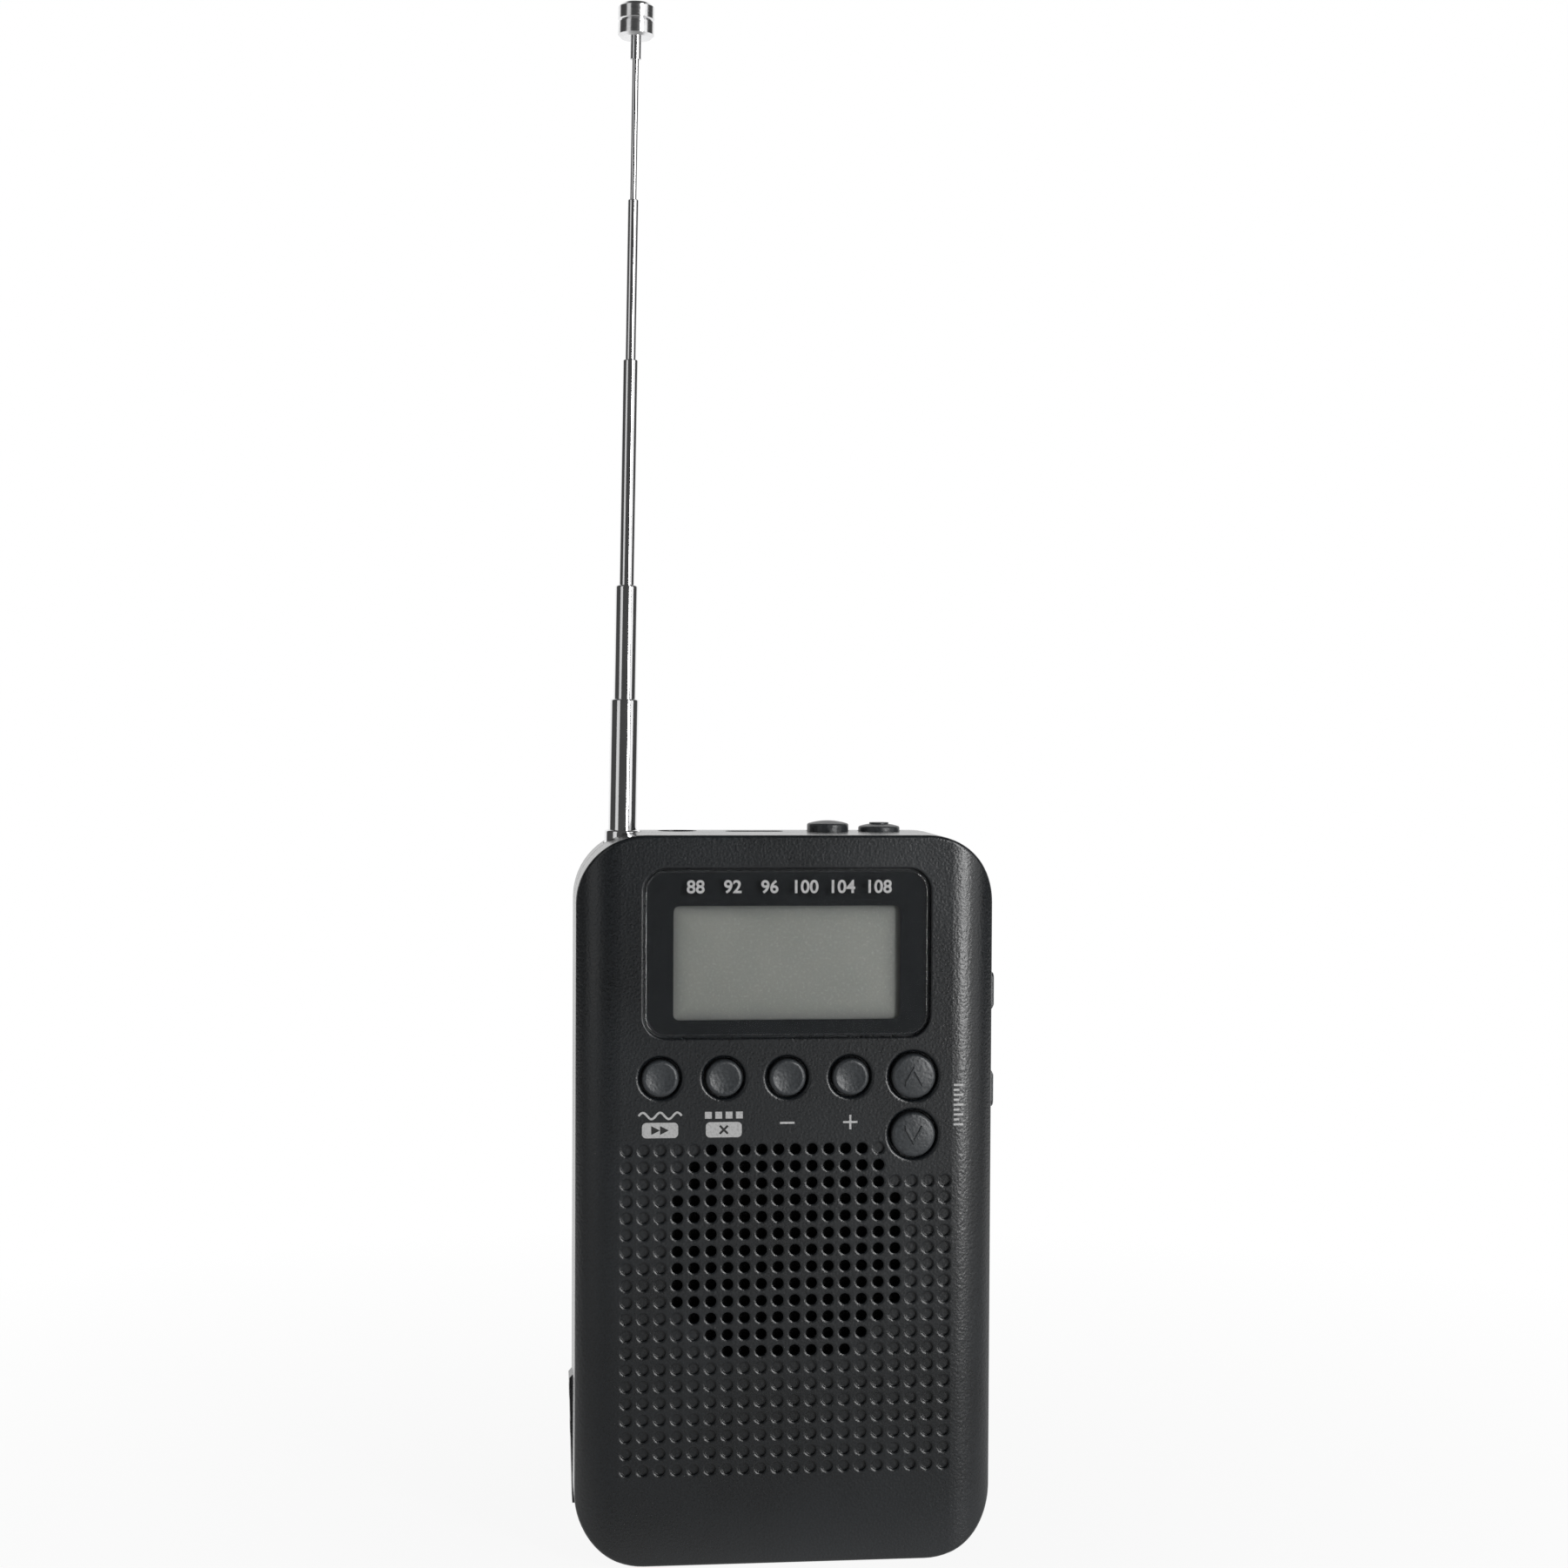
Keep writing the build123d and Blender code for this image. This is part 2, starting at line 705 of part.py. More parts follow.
# Battery door, which slides down off the back on two rails
door_middle_z = (door_foot_z + door_top_z) / 2
door_length = door_top_z - door_foot_z
with BuildPart() as battery_door:
    with BuildSketch(at_depth(body_depth)):
        with Locations((0, door_middle_z)):
            Rectangle(2 * door_half, door_length)
    extrude(amount=door_thickness)
    with BuildSketch(at_depth(body_depth - door_skin)):
        with Locations((0, door_middle_z)):
            Rectangle(2 * (door_half + door_rail), door_length)
    extrude(amount=door_thickness - door_skin)
    add(rear_outer, mode=Mode.INTERSECT)
    with BuildSketch(at_depth(body_depth)):
        with Locations((0, door_top_z - grip_below_door_top)):
            with GridLocations(0, grip_pitch, 1, grip_count):
                SlotOverall(grip_width, grip_groove)
        with Locations((0, door_top_z - grip_below_door_top - arrow_below_grip)):
            RegularPolygon(arrow_radius, 3, rotation=-90)
    extrude(amount=grip_groove_depth, mode=Mode.SUBTRACT)
keep(battery_door.part, "battery_door")

# Display window, the mask printed behind it, and the display
lens_front = window_sink
mask_front = window_pocket_depth - mask_thickness
lens_back = mask_front - mask_gap
with BuildPart() as display_window:
    with BuildSketch(at_depth(lens_front)):
        with Locations((0, window_z)):
            RectangleRounded(
                window_width - 2 * window_gap, window_height - 2 * window_gap, window_corner - window_gap
            )
    extrude(amount=lens_front - lens_back)
    fillet(display_window.faces().sort_by(Axis.Y)[0].edges(), window_gap)
keep(display_window.part, "display_window")

with BuildPart() as window_mask:
    with BuildSketch(at_depth(mask_front)):
        with Locations((0, window_z)):
            RectangleRounded(
                window_width - 2 * window_gap, window_height - 2 * window_gap, window_corner - window_gap
            )
        with Locations((0, view_z)):
            RectangleRounded(view_width, view_height, view_corner, mode=Mode.SUBTRACT)
    extrude(amount=-mask_thickness)
keep(window_mask.part, "window_mask")

lcd_width = view_width + 2 * lcd_border
lcd_height = view_height + 2 * lcd_border
lcd_back = lcd_depth + lcd_thickness
with BuildPart() as lcd_panel:
    with BuildSketch(at_depth(lcd_depth)):
        with Locations((0, view_z)):
            Rectangle(lcd_width, lcd_height)
    extrude(amount=-lcd_thickness)
keep(lcd_panel.part, "lcd_panel")

strip_z = view_z - lcd_height / 2 + contact_strip_inset + contact_strip_width / 2
with BuildPart() as lcd_holder:
    with BuildSketch(at_depth(lcd_depth)):
        with Locations((0, view_z)):
            Rectangle(lcd_width + 2 * holder_wall, lcd_height + 2 * holder_wall)
            Rectangle(lcd_width + 2 * seat_gap, lcd_height + 2 * seat_gap, mode=Mode.SUBTRACT)
    extrude(amount=-lcd_thickness)
    with BuildSketch(at_depth(lcd_back)):
        with Locations((0, view_z)):
            Rectangle(lcd_width + 2 * holder_wall, lcd_height + 2 * holder_wall)
        with Locations((0, view_z + contact_strip_width)):
            Rectangle(view_width - 2 * lcd_border, view_height - 2 * lcd_border, mode=Mode.SUBTRACT)
        with Locations((0, strip_z)):
            Rectangle(view_width + 2 * seat_gap, contact_strip_width + 2 * seat_gap, mode=Mode.SUBTRACT)
    extrude(amount=lcd_back - board_depth)
keep(lcd_holder.part, "lcd_holder")

with BuildPart() as lcd_contact_strip:
    with BuildSketch(at_depth(lcd_back)):
        with Locations((0, strip_z)):
            Rectangle(view_width, contact_strip_width)
    extrude(amount=lcd_back - board_depth)
keep(lcd_contact_strip.part, "lcd_contact_strip")

# Main board
with BuildPart() as main_board:
    with BuildSketch(at_depth(board_depth)) as board_outline:
        with Locations(((board_left_x + board_right_x) / 2, (board_bottom_z + board_top_z) / 2)):
            Rectangle(board_right_x - board_left_x, board_top_z - board_bottom_z)
        fillet(
            board_outline.vertices().sort_by(lambda corner: corner.X + corner.Y)[-1],
            corner_radius - wall - board_edge_gap,
        )
        with Locations(*upper_screw_points):
            Circle(case_clear_radius, mode=Mode.SUBTRACT)
        with Locations(*board_screw_points):
            Circle(screw_radius + seat_gap, mode=Mode.SUBTRACT)
    extrude(amount=-board_thickness)
keep(main_board.part, "main_board")

with BuildPart() as board_chips:
    for x, below_top, width, height, thickness in chip_sizes:
        with BuildSketch(at_depth(board_back)):
            with Locations((x, body_height - below_top)):
                Rectangle(width, height)
        extrude(amount=-thickness)
keep(board_chips.part, "board_chips")

with BuildPart() as board_capacitors:
    with BuildSketch(at_depth(board_back)):
        with Locations(*[(x, body_height - below_top) for x, below_top in capacitor_places]):
            Circle(capacitor_radius)
    extrude(amount=-capacitor_height)
keep(board_capacitors.part, "board_capacitors")

# Switches under the front keys
key_switch_front = board_depth - key_switch_height
with BuildPart() as key_switches:
    with BuildSketch(at_depth(board_depth)):
        with Locations(*key_points, *tune_points):
            Rectangle(key_switch_size, key_switch_size)
    extrude(amount=key_switch_height)
    with BuildSketch(at_depth(key_switch_front)):
        with Locations(*key_points, *tune_points):
            Circle(stem_radius + stem_gap)
    extrude(amount=-well_depth, mode=Mode.SUBTRACT)
keep(key_switches.part, "key_switches")

# Switches at the edge of the board, under the top and side buttons
edge_switch_shift = board_back + edge_switch_height / 2 - edge_depth
with BuildPart() as edge_switches:
    for plane in top_planes + side_planes:
        with BuildSketch(plane.offset(-edge_switch_top)):
            with Locations((0, edge_switch_shift)):
                Rectangle(edge_switch_width, edge_switch_height)
        extrude(amount=-edge_switch_length)
        with BuildSketch(plane.offset(-edge_switch_top)):
            Circle(stem_radius + stem_gap)
        extrude(amount=-well_depth, mode=Mode.SUBTRACT)
keep(edge_switches.part, "edge_switches")


def front_key(place, cap_radius, chevron):
    """A key on a flange and a stem: its cap is dished, or crowned with a chevron up (1) or down (-1)."""
    flange_front = wall + seat_gap
    flange_rear = flange_front + key_flange_thickness
    crown = tune_crown if chevron else 0
    with BuildPart() as key:
        with BuildSketch(at_depth(-key_proud - crown)):
            with Locations(place):
                Circle(cap_radius)
        extrude(amount=-key_proud - crown - flange_front)
        if chevron:
            crown_ball = (cap_radius**2 + crown**2) / (2 * crown)
            with Locations((place[0], front_y - key_proud - crown + crown_ball, place[1])):
                Sphere(crown_ball, mode=Mode.INTERSECT)
        fillet(key.edges().filter_by(GeomType.CIRCLE).sort_by(Axis.Y)[0], key_edge_radius)
        if not chevron:
            dish_ball = (key_dish_radius**2 + key_dish_depth**2) / (2 * key_dish_depth)
            with Locations((place[0], front_y - key_proud + key_dish_depth - dish_ball, place[1])):
                Sphere(dish_ball, mode=Mode.SUBTRACT)
        with BuildSketch(at_depth(flange_front)):
            with Locations(place):
                Circle(cap_radius + key_gap + key_hold)
        extrude(amount=-key_flange_thickness)
        with BuildSketch(at_depth(flange_rear)):
            with Locations(place):
                Circle(stem_radius)
        extrude(amount=flange_rear - key_switch_front - stem_entry)
        if chevron:
            half = chevron_width / 2
            foot = -(chevron_rise + chevron_stroke) / 2
            outline = [
                (-half, foot),
                (0, foot + chevron_rise),
                (half, foot),
                (half, foot + chevron_stroke),
                (0, foot + chevron_rise + chevron_stroke),
                (-half, foot + chevron_stroke),
            ]
            with BuildSketch(at_depth(-key_proud)):
                with BuildLine():
                    Polyline(*[(place[0] + u, place[1] + chevron * v) for u, v in outline], close=True)
                make_face()
            extrude(amount=crown + chevron_height)
    return key.part


def edge_stem(plane, cap_length):
    """The flange that holds a button inside the wall at plane, and the stem that works its switch."""
    with BuildPart() as stem:
        with BuildSketch(plane.offset(-wall - seat_gap)):
            Rectangle(cap_length + 2 * (button_gap + button_hold), button_flange_depth)
        extrude(amount=-button_flange_thickness)
        with BuildSketch(plane.offset(-edge_stem_top)):
            Circle(stem_radius)
        extrude(amount=-edge_switch_reach - stem_entry)
    return stem.part


def side_button(plane, inner_end):
    """A button through the side wall at plane, sloping off at its inner end: 1 below it, -1 above it."""
    slope_plane = Plane(origin=plane.origin, x_dir=plane.x_dir * inner_end, z_dir=-plane.y_dir * inner_end)
    half_length = side_button_length / 2
    with BuildPart() as button:
        with BuildSketch(plane.offset(-wall - seat_gap)):
            RectangleRounded(side_button_length, side_button_depth, side_button_corner)
        extrude(amount=wall + seat_gap + side_button_proud)
        outward = Axis(plane.origin, plane.z_dir)
        fillet(button.faces().sort_by(outward)[-1].edges(), button_edge_radius)
        with BuildSketch(slope_plane):
            with BuildLine():
                Polyline(
                    (half_length - 2 * side_button_slope, side_button_proud + side_button_drop),
                    (half_length + side_button_slope, side_button_proud - 2 * side_button_drop),
                    (half_length + side_button_slope, side_button_proud + side_button_drop),
                    close=True,
                )
            make_face()
        extrude(amount=side_button_depth, both=True, mode=Mode.SUBTRACT)
        add(edge_stem(plane, side_button_length))
    return button.part


def edge_button(plane, cap_radius, proud, crown, pad_height):
    """A button through the top at plane: crowned cap, flange and stem, with or without a raised pad."""
    crown_ball = (cap_radius**2 + crown**2) / (2 * crown)
    with BuildPart() as button:
        with BuildSketch(plane.offset(-wall - seat_gap)):
            Circle(cap_radius)
        extrude(amount=wall + seat_gap + proud)
        with Locations(plane.offset(proud - crown_ball)):
            Sphere(crown_ball, mode=Mode.INTERSECT)
        outward = Axis(plane.origin, plane.z_dir)
        fillet(button.faces().sort_by(outward)[-1].edges(), button_edge_radius)
        add(edge_stem(plane, 2 * cap_radius))
        if pad_height:
            with BuildSketch(plane.offset(proud - crown)):
                Circle(lock_pad_radius)
            extrude(amount=crown + pad_height)
    return button.part


# Keys and buttons
key_names = ("band_button", "memory_button", "preset_down_button", "preset_up_button")
for place, name in zip(key_points, key_names):
    keep(front_key(place, key_radius, 0), name)
keep(front_key(tune_points[0], tune_radius, 1), "tune_up_button")
keep(front_key(tune_points[1], tune_radius, -1), "tune_down_button")
power_button = edge_button(top_planes[0], top_button_radius, top_button_proud, top_button_crown, 0)
keep(power_button, "power_button")
lock_button = edge_button(
    top_planes[1], top_button_radius, lock_button_proud, top_button_crown, lock_pad_height
)
keep(lock_button, "lock_button")
keep(side_button(side_planes[0], 1), "volume_up_button")
keep(side_button(side_planes[1], -1), "volume_down_button")

# Headphone socket
jack_mouth_z = body_height - jack_sink
jack_shoulder_z = body_height - wall - seat_gap
jack_back = inner_back - jack_back_gap
with BuildPart() as headphone_jack:
    with BuildSketch(Plane.XY.offset(jack_shoulder_z)):
        with Locations((jack_x, front_y + (board_back + jack_back) / 2)):
            Rectangle(jack_width, jack_back - board_back)
    extrude(amount=-jack_length)
    with BuildSketch(Plane.XY.offset(jack_shoulder_z)):
        with Locations((jack_x, edge_y)):
            Circle(jack_nose_radius)
    extrude(amount=jack_mouth_z - jack_shoulder_z)
    with BuildSketch(Plane.XY.offset(jack_mouth_z)):
        with Locations((jack_x, edge_y)):
            Circle(jack_bore_radius)
    extrude(amount=-jack_bore_length, mode=Mode.SUBTRACT)
keep(headphone_jack.part, "headphone_jack")

# Charging socket and its tongue
usb_mouth_z = body_height - usb_sink
usb_y = front_y + board_back + usb_height / 2
usb_floor_z = usb_mouth_z - usb_length + usb_wall
with BuildPart() as usb_socket:
    with BuildSketch(Plane.XY.offset(usb_mouth_z)):
        with Locations((usb_x, usb_y)):
            RectangleRounded(usb_width, usb_height, usb_corner)
    extrude(amount=-usb_length)
    with BuildSketch(Plane.XY.offset(usb_mouth_z)):
        with Locations((usb_x, usb_y)):
            RectangleRounded(usb_width - 2 * usb_wall, usb_height - 2 * usb_wall, usb_corner - usb_wall)
    extrude(amount=usb_floor_z - usb_mouth_z, mode=Mode.SUBTRACT)
keep(usb_socket.part, "usb_socket")

with BuildPart() as usb_tongue:
    with BuildSketch(Plane.XY.offset(usb_floor_z)):
        with Locations((usb_x, usb_y)):
            Rectangle(tongue_width, tongue_thickness)
    extrude(amount=tongue_length)
keep(usb_tongue.part, "usb_tongue")

# Speaker, from the cloth behind the grille to the magnet
speaker_plane = Plane(origin=(0, front_y, speaker_z), x_dir=(1, 0, 0), z_dir=(0, 0, 1))
speaker_axis = Axis((0, front_y, speaker_z), (0, 1, 0))
cone_radius = speaker_radius - gasket_width
with BuildPart() as grille_cloth:
    with BuildSketch(at_depth(wall)):
        with Locations((0, speaker_z)):
            Circle(speaker_radius)
    extrude(amount=-cloth_thickness)
keep(grille_cloth.part, "grille_cloth")

with BuildPart() as speaker_gasket:
    with BuildSketch(at_depth(cloth_back)):
        with Locations((0, speaker_z)):
            Circle(speaker_radius)
            Circle(cone_radius, mode=Mode.SUBTRACT)
    extrude(amount=-gasket_thickness)
keep(speaker_gasket.part, "speaker_gasket")

basket_radius = magnet_radius + 2 * basket_sheet
with BuildPart() as speaker_frame:
    with BuildSketch(speaker_plane):
        with BuildLine():
            Polyline(
                (cone_radius, gasket_back),
                (speaker_radius, gasket_back),
                (speaker_radius, flange_back),
                (cone_radius + basket_sheet, flange_back),
                (basket_radius, basket_back),
                (pole_radius + seat_gap, basket_back),
                (pole_radius + seat_gap, basket_back - basket_sheet),
                (basket_radius - basket_sheet, basket_back - basket_sheet),
                (cone_radius, gasket_back + basket_sheet),
                close=True,
            )
        make_face()
    revolve(axis=speaker_axis)
keep(speaker_frame.part, "speaker_frame")

cone_cap_radius = pole_radius + cone_cap_margin
cone_depth = speaker_depth - 2 * basket_sheet
with BuildPart() as speaker_cone:
    with BuildSketch(speaker_plane):
        with BuildLine():
            Polyline(
                (0, gasket_back + cone_depth / 2),
                (cone_cap_radius, gasket_back + cone_depth - cone_thickness),
                (cone_radius - 2 * cone_thickness, gasket_back + seat_gap),
                (cone_radius - cone_edge_gap, gasket_back + seat_gap),
                (cone_radius - cone_edge_gap, gasket_back + seat_gap + cone_thickness),
                (cone_radius - 2 * cone_thickness, gasket_back + seat_gap + cone_thickness),
                (cone_cap_radius, gasket_back + cone_depth),
                (0, gasket_back + cone_depth / 2 + cone_thickness),
                close=True,
            )
        make_face()
    revolve(axis=speaker_axis)
keep(speaker_cone.part, "speaker_cone")

with BuildPart() as speaker_magnet:
    with BuildSketch(at_depth(basket_back)):
        with Locations((0, speaker_z)):
            Circle(magnet_radius)
    extrude(amount=-magnet_thickness)
    with BuildSketch(at_depth(basket_back)):
        with Locations((0, speaker_z)):
            Circle(pole_radius)
    extrude(amount=basket_sheet)
keep(speaker_magnet.part, "speaker_magnet")

terminal_z = speaker_z + speaker_radius - terminal_in + terminal_height / 2
terminal_back = flange_back + terminal_thickness
with BuildPart() as speaker_terminals:
    with BuildSketch(at_depth(flange_back)):
        with Locations((0, terminal_z)):
            Rectangle(terminal_width, terminal_height)
    extrude(amount=-terminal_thickness)
keep(speaker_terminals.part, "speaker_terminals")

with BuildPart() as speaker_screws:
    with BuildSketch(at_depth(flange_back)):
        with Locations(*speaker_screw_points):
            Circle(speaker_screw_head)
    extrude(amount=-speaker_screw_head_thickness)
    with BuildSketch(at_depth(flange_back)):
        with Locations(*speaker_screw_points):
            Circle(speaker_screw_radius)
    extrude(amount=speaker_screw_length)
keep(speaker_screws.part, "speaker_screws")

# Ferrite rod and its coil
rod_y = front_y + rod_depth
with BuildPart() as ferrite_rod:
    with BuildSketch(Plane.YZ.offset(-rod_length / 2)):
        with Locations((rod_y, rod_z)):
            Circle(rod_radius)
    extrude(amount=rod_length)
keep(ferrite_rod.part, "ferrite_rod")

with BuildPart() as ferrite_coil:
    with BuildSketch(Plane.YZ.offset(-coil_length / 2)):
        with Locations((rod_y, rod_z)):
            Circle(rod_radius + coil_thickness)
            Circle(rod_radius + sleeve_gap, mode=Mode.SUBTRACT)
    extrude(amount=coil_length)
keep(ferrite_coil.part, "ferrite_coil")

# Battery and its contacts
with BuildPart() as battery_pack:
    with BuildSketch(at_depth(battery_front)):
        with Locations((0, battery_z)):
            RectangleRounded(battery_width, battery_height, battery_corner)
    extrude(amount=-battery_thickness)
keep(battery_pack.part, "battery_pack")

with BuildPart() as battery_contact_block:
    with BuildSketch(at_depth(bay_floor_back)):
        with Locations((0, contact_block_z + contact_block_height / 2)):
            Rectangle(contact_block_width, contact_block_height)
    extrude(amount=-contact_block_depth)
keep(battery_contact_block.part, "battery_contact_block")

with BuildPart() as battery_contacts:
    with BuildSketch(Plane.XY.offset(contact_block_z)):
        with Locations(*[
            (place * contact_pitch, front_y + bay_floor_back + contact_block_depth / 2)
            for place in (-1, 0, 1)
        ]):
            Rectangle(contact_width, contact_length)
    extrude(amount=-contact_rise)
keep(battery_contacts.part, "battery_contacts")

# Case screws and board screws
with BuildPart() as case_screws:
    with BuildSketch(at_depth(case_head_seat)):
        with Locations(*bottom_screw_points, *upper_screw_points):
            Circle(case_head_radius)
    extrude(amount=-case_head_thickness)
    with BuildSketch(at_depth(case_head_seat)):
        with Locations(*bottom_screw_points, *upper_screw_points):
            Circle(screw_radius)
    extrude(amount=case_screw_length)
    with BuildSketch(at_depth(case_head_seat + case_head_thickness)):
        with Locations(*bottom_screw_points, *upper_screw_points):
            Rectangle(cross_length, cross_width)
            Rectangle(cross_width, cross_length)
    extrude(amount=cross_depth, mode=Mode.SUBTRACT)
keep(case_screws.part, "case_screws")

with BuildPart() as board_screws:
    with BuildSketch(at_depth(board_back)):
        with Locations(*board_screw_points):
            Circle(board_head_radius)
    extrude(amount=-board_head_thickness)
    with BuildSketch(at_depth(board_back)):
        with Locations(*board_screw_points):
            Circle(screw_radius)
    extrude(amount=board_screw_length)
keep(board_screws.part, "board_screws")


def antenna_tube(diameter, tube_wall, inner_diameter, top, length):
    """A tube on the antenna's axis, drawn in at its top round the next section, with a rounded rim."""
    neck_radius = inner_diameter / 2 + neck_gap
    with BuildPart() as tube:
        with BuildSketch(antenna_plane.offset(top - length)):
            Circle(diameter / 2)
        extrude(amount=length)
        with BuildSketch(antenna_plane.offset(top - length)):
            Circle(diameter / 2 - tube_wall)
        extrude(amount=length - neck_length, mode=Mode.SUBTRACT)
        with BuildSketch(antenna_plane.offset(top - neck_length)):
            Circle(neck_radius)
        extrude(amount=neck_length, mode=Mode.SUBTRACT)
        rim = tube.edges().filter_by(GeomType.CIRCLE).group_by(antenna_axis)[-1].sort_by(SortBy.RADIUS)[-1]
        fillet(rim, rim_share * (diameter / 2 - neck_radius))
    return tube.part


def antenna_ring(outer_radius, inner_radius, foot, length):
    """A plain ring on the antenna's axis."""
    with BuildPart() as ring:
        with BuildSketch(antenna_plane.offset(foot)):
            Circle(outer_radius)
            Circle(inner_radius, mode=Mode.SUBTRACT)
        extrude(amount=length)
    return ring.part


# Antenna: the fixed base tube, four drawn tubes and the rod, each with a friction bush at its foot
keep(antenna_tube(base_diameter, base_wall, section_diameters[0], 0, base_length), "antenna_base_tube")
parent_bores = [base_diameter - 2 * base_wall] + [
    diameter - 2 * tube_wall for diameter, tube_wall in zip(section_diameters, section_walls)
]
last = len(section_diameters) - 1
for place in range(last):
    section = antenna_tube(
        section_diameters[place],
        section_walls[place],
        section_diameters[place + 1],
        section_tops[place],
        section_lengths[place],
    )
    keep(section, f"antenna_section_{place + 1}")

rod_top = section_tops[last] + tip_socket_depth - seat_gap
rod_foot = section_tops[last] - section_lengths[last]
with BuildPart() as antenna_rod:
    with BuildSketch(antenna_plane.offset(rod_foot)):
        Circle(section_diameters[last] / 2)
    extrude(amount=rod_top - rod_foot)
keep(antenna_rod.part, f"antenna_section_{last + 1}")

for place, diameter in enumerate(section_diameters):
    bush = antenna_ring(
        parent_bores[place] / 2 - bush_gap,
        diameter / 2 + sleeve_gap,
        section_tops[place] - section_lengths[place],
        bush_length,
    )
    keep(bush, f"antenna_bush_{place + 1}")

# Turned tip: a neck that takes the rod, and a knob with a groove round its middle
tip_plane = Plane(
    origin=antenna_plane.from_local_coords((0, 0, section_tops[last])),
    x_dir=antenna_plane.x_dir,
    z_dir=(0, -1, 0),
)
tip_bore = section_diameters[last] / 2 + sleeve_gap
knob_foot = tip_neck_length
knob_top = tip_neck_length + tip_height
knob_middle = tip_neck_length + tip_height / 2
with BuildPart() as antenna_tip:
    with BuildSketch(tip_plane):
        with BuildLine():
            Polyline(
                (tip_bore, 0),
                (tip_neck_radius, 0),
                (tip_neck_radius, knob_foot),
                (tip_radius - tip_chamfer, knob_foot),
                (tip_radius, knob_foot + tip_chamfer),
                (tip_radius, knob_middle - tip_groove),
                (tip_radius - tip_groove, knob_middle),
                (tip_radius, knob_middle + tip_groove),
                (tip_radius, knob_top - tip_chamfer),
                (tip_radius - tip_chamfer, knob_top),
                (0, knob_top),
                (0, tip_socket_depth),
                (tip_bore, tip_socket_depth),
                close=True,
            )
        make_face()
    revolve(axis=antenna_axis)
keep(antenna_tip.part, "antenna_tip")

# Plug in the foot of the base tube
with BuildPart() as antenna_plug:
    with BuildSketch(antenna_plane.offset(-base_length)):
        Circle(base_radius - base_wall - sleeve_gap)
    extrude(amount=plug_length)
    with BuildSketch(antenna_plane.offset(-base_length)):
        Circle(base_radius)
    extrude(amount=-base_wall)
keep(antenna_plug.part, "antenna_plug")

# Clamp round the base tube, with an ear that is screwed to the rear shell
with BuildPart() as antenna_clamp:
    with BuildSketch(antenna_plane.offset(-clamp_below_mouth)):
        Circle(clamp_ring)
        with Locations((clamp_ear_end / 2, clamp_ear_behind - clamp_ear_thickness / 2)):
            Rectangle(clamp_ear_end, clamp_ear_thickness)
        Circle(base_radius + clamp_gap, mode=Mode.SUBTRACT)
    extrude(amount=clamp_width)
    with BuildSketch(at_depth(clamp_ear_front)):
        with Locations(clamp_hole_point):
            Circle(screw_radius + seat_gap)
    extrude(amount=-clamp_ear_thickness, mode=Mode.SUBTRACT)
keep(antenna_clamp.part, "antenna_clamp")

with BuildPart() as antenna_clamp_screw:
    with BuildSketch(at_depth(clamp_ear_front)):
        with Locations(clamp_hole_point):
            Circle(board_head_radius)
    extrude(amount=board_head_thickness)
    with BuildSketch(at_depth(clamp_ear_front)):
        with Locations(clamp_hole_point):
            Circle(screw_radius)
    extrude(amount=-clamp_screw_length)
keep(antenna_clamp_screw.part, "antenna_clamp_screw")


def lead_part(routes):
    """Insulated leads: straight runs with a bend at each inner point, as round as the runs allow."""
    with BuildPart() as lead:
        for route in routes:
            points = [Vector(point) for point in route]
            radii = []
            for before, here, after in zip(points, points[1:], points[2:]):
                half_turn = radians((here - before).get_angle(after - here)) / 2
                run = min((here - before).length, (after - here).length)
                radii.append(lead_bend_share * run / tan(half_turn))
            with BuildLine() as path:
                FilletPolyline(*points, radius=radii)
            with BuildSketch(Plane(origin=path.line @ 0, z_dir=path.line % 0)):
                Circle(lead_radius)
            sweep(path=path.line)
    return lead.part


ear_end = antenna_plane.from_local_coords(
    (clamp_ear_end, clamp_ear_behind - clamp_ear_thickness / 2, -clamp_middle)
)
antenna_lead_route = [
    ear_end,
    ear_end + Vector(antenna_lead_reach, 0, -antenna_lead_reach * tan(lean)),
    (ear_end.X + antenna_lead_reach, front_y + board_back, ear_end.Z - antenna_lead_reach * tan(lean)),
]
keep(lead_part([antenna_lead_route]), "antenna_lead")

speaker_lead_routes = []
battery_lead_routes = []
lead_middle_y = front_y + (terminal_back + board_depth) / 2
speaker_lead_z = board_bottom_z + speaker_lead_up
battery_lead_z = board_bottom_z + battery_lead_up
for side in (-1, 1):
    x = side * speaker_lead_spread
    speaker_lead_routes.append([
        (x, front_y + terminal_back, terminal_z),
        (x, lead_middle_y - speaker_lead_sag, terminal_z),
        (x, lead_middle_y + speaker_lead_sag, speaker_lead_z),
        (x, front_y + board_depth, speaker_lead_z),
    ])
    x = side * battery_lead_spread
    battery_lead_routes.append([
        (x, battery_lead_y, bay_top_z),
        (x, battery_lead_y, battery_lead_z),
        (x, front_y + board_back, battery_lead_z),
    ])
keep(lead_part(speaker_lead_routes), "speaker_leads")
keep(lead_part(battery_lead_routes), "battery_leads")
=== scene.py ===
"""A pocket radio with a telescopic antenna: finishes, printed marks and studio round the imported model."""

import math

import bmesh
import bpy
from mathutils import Matrix, Vector


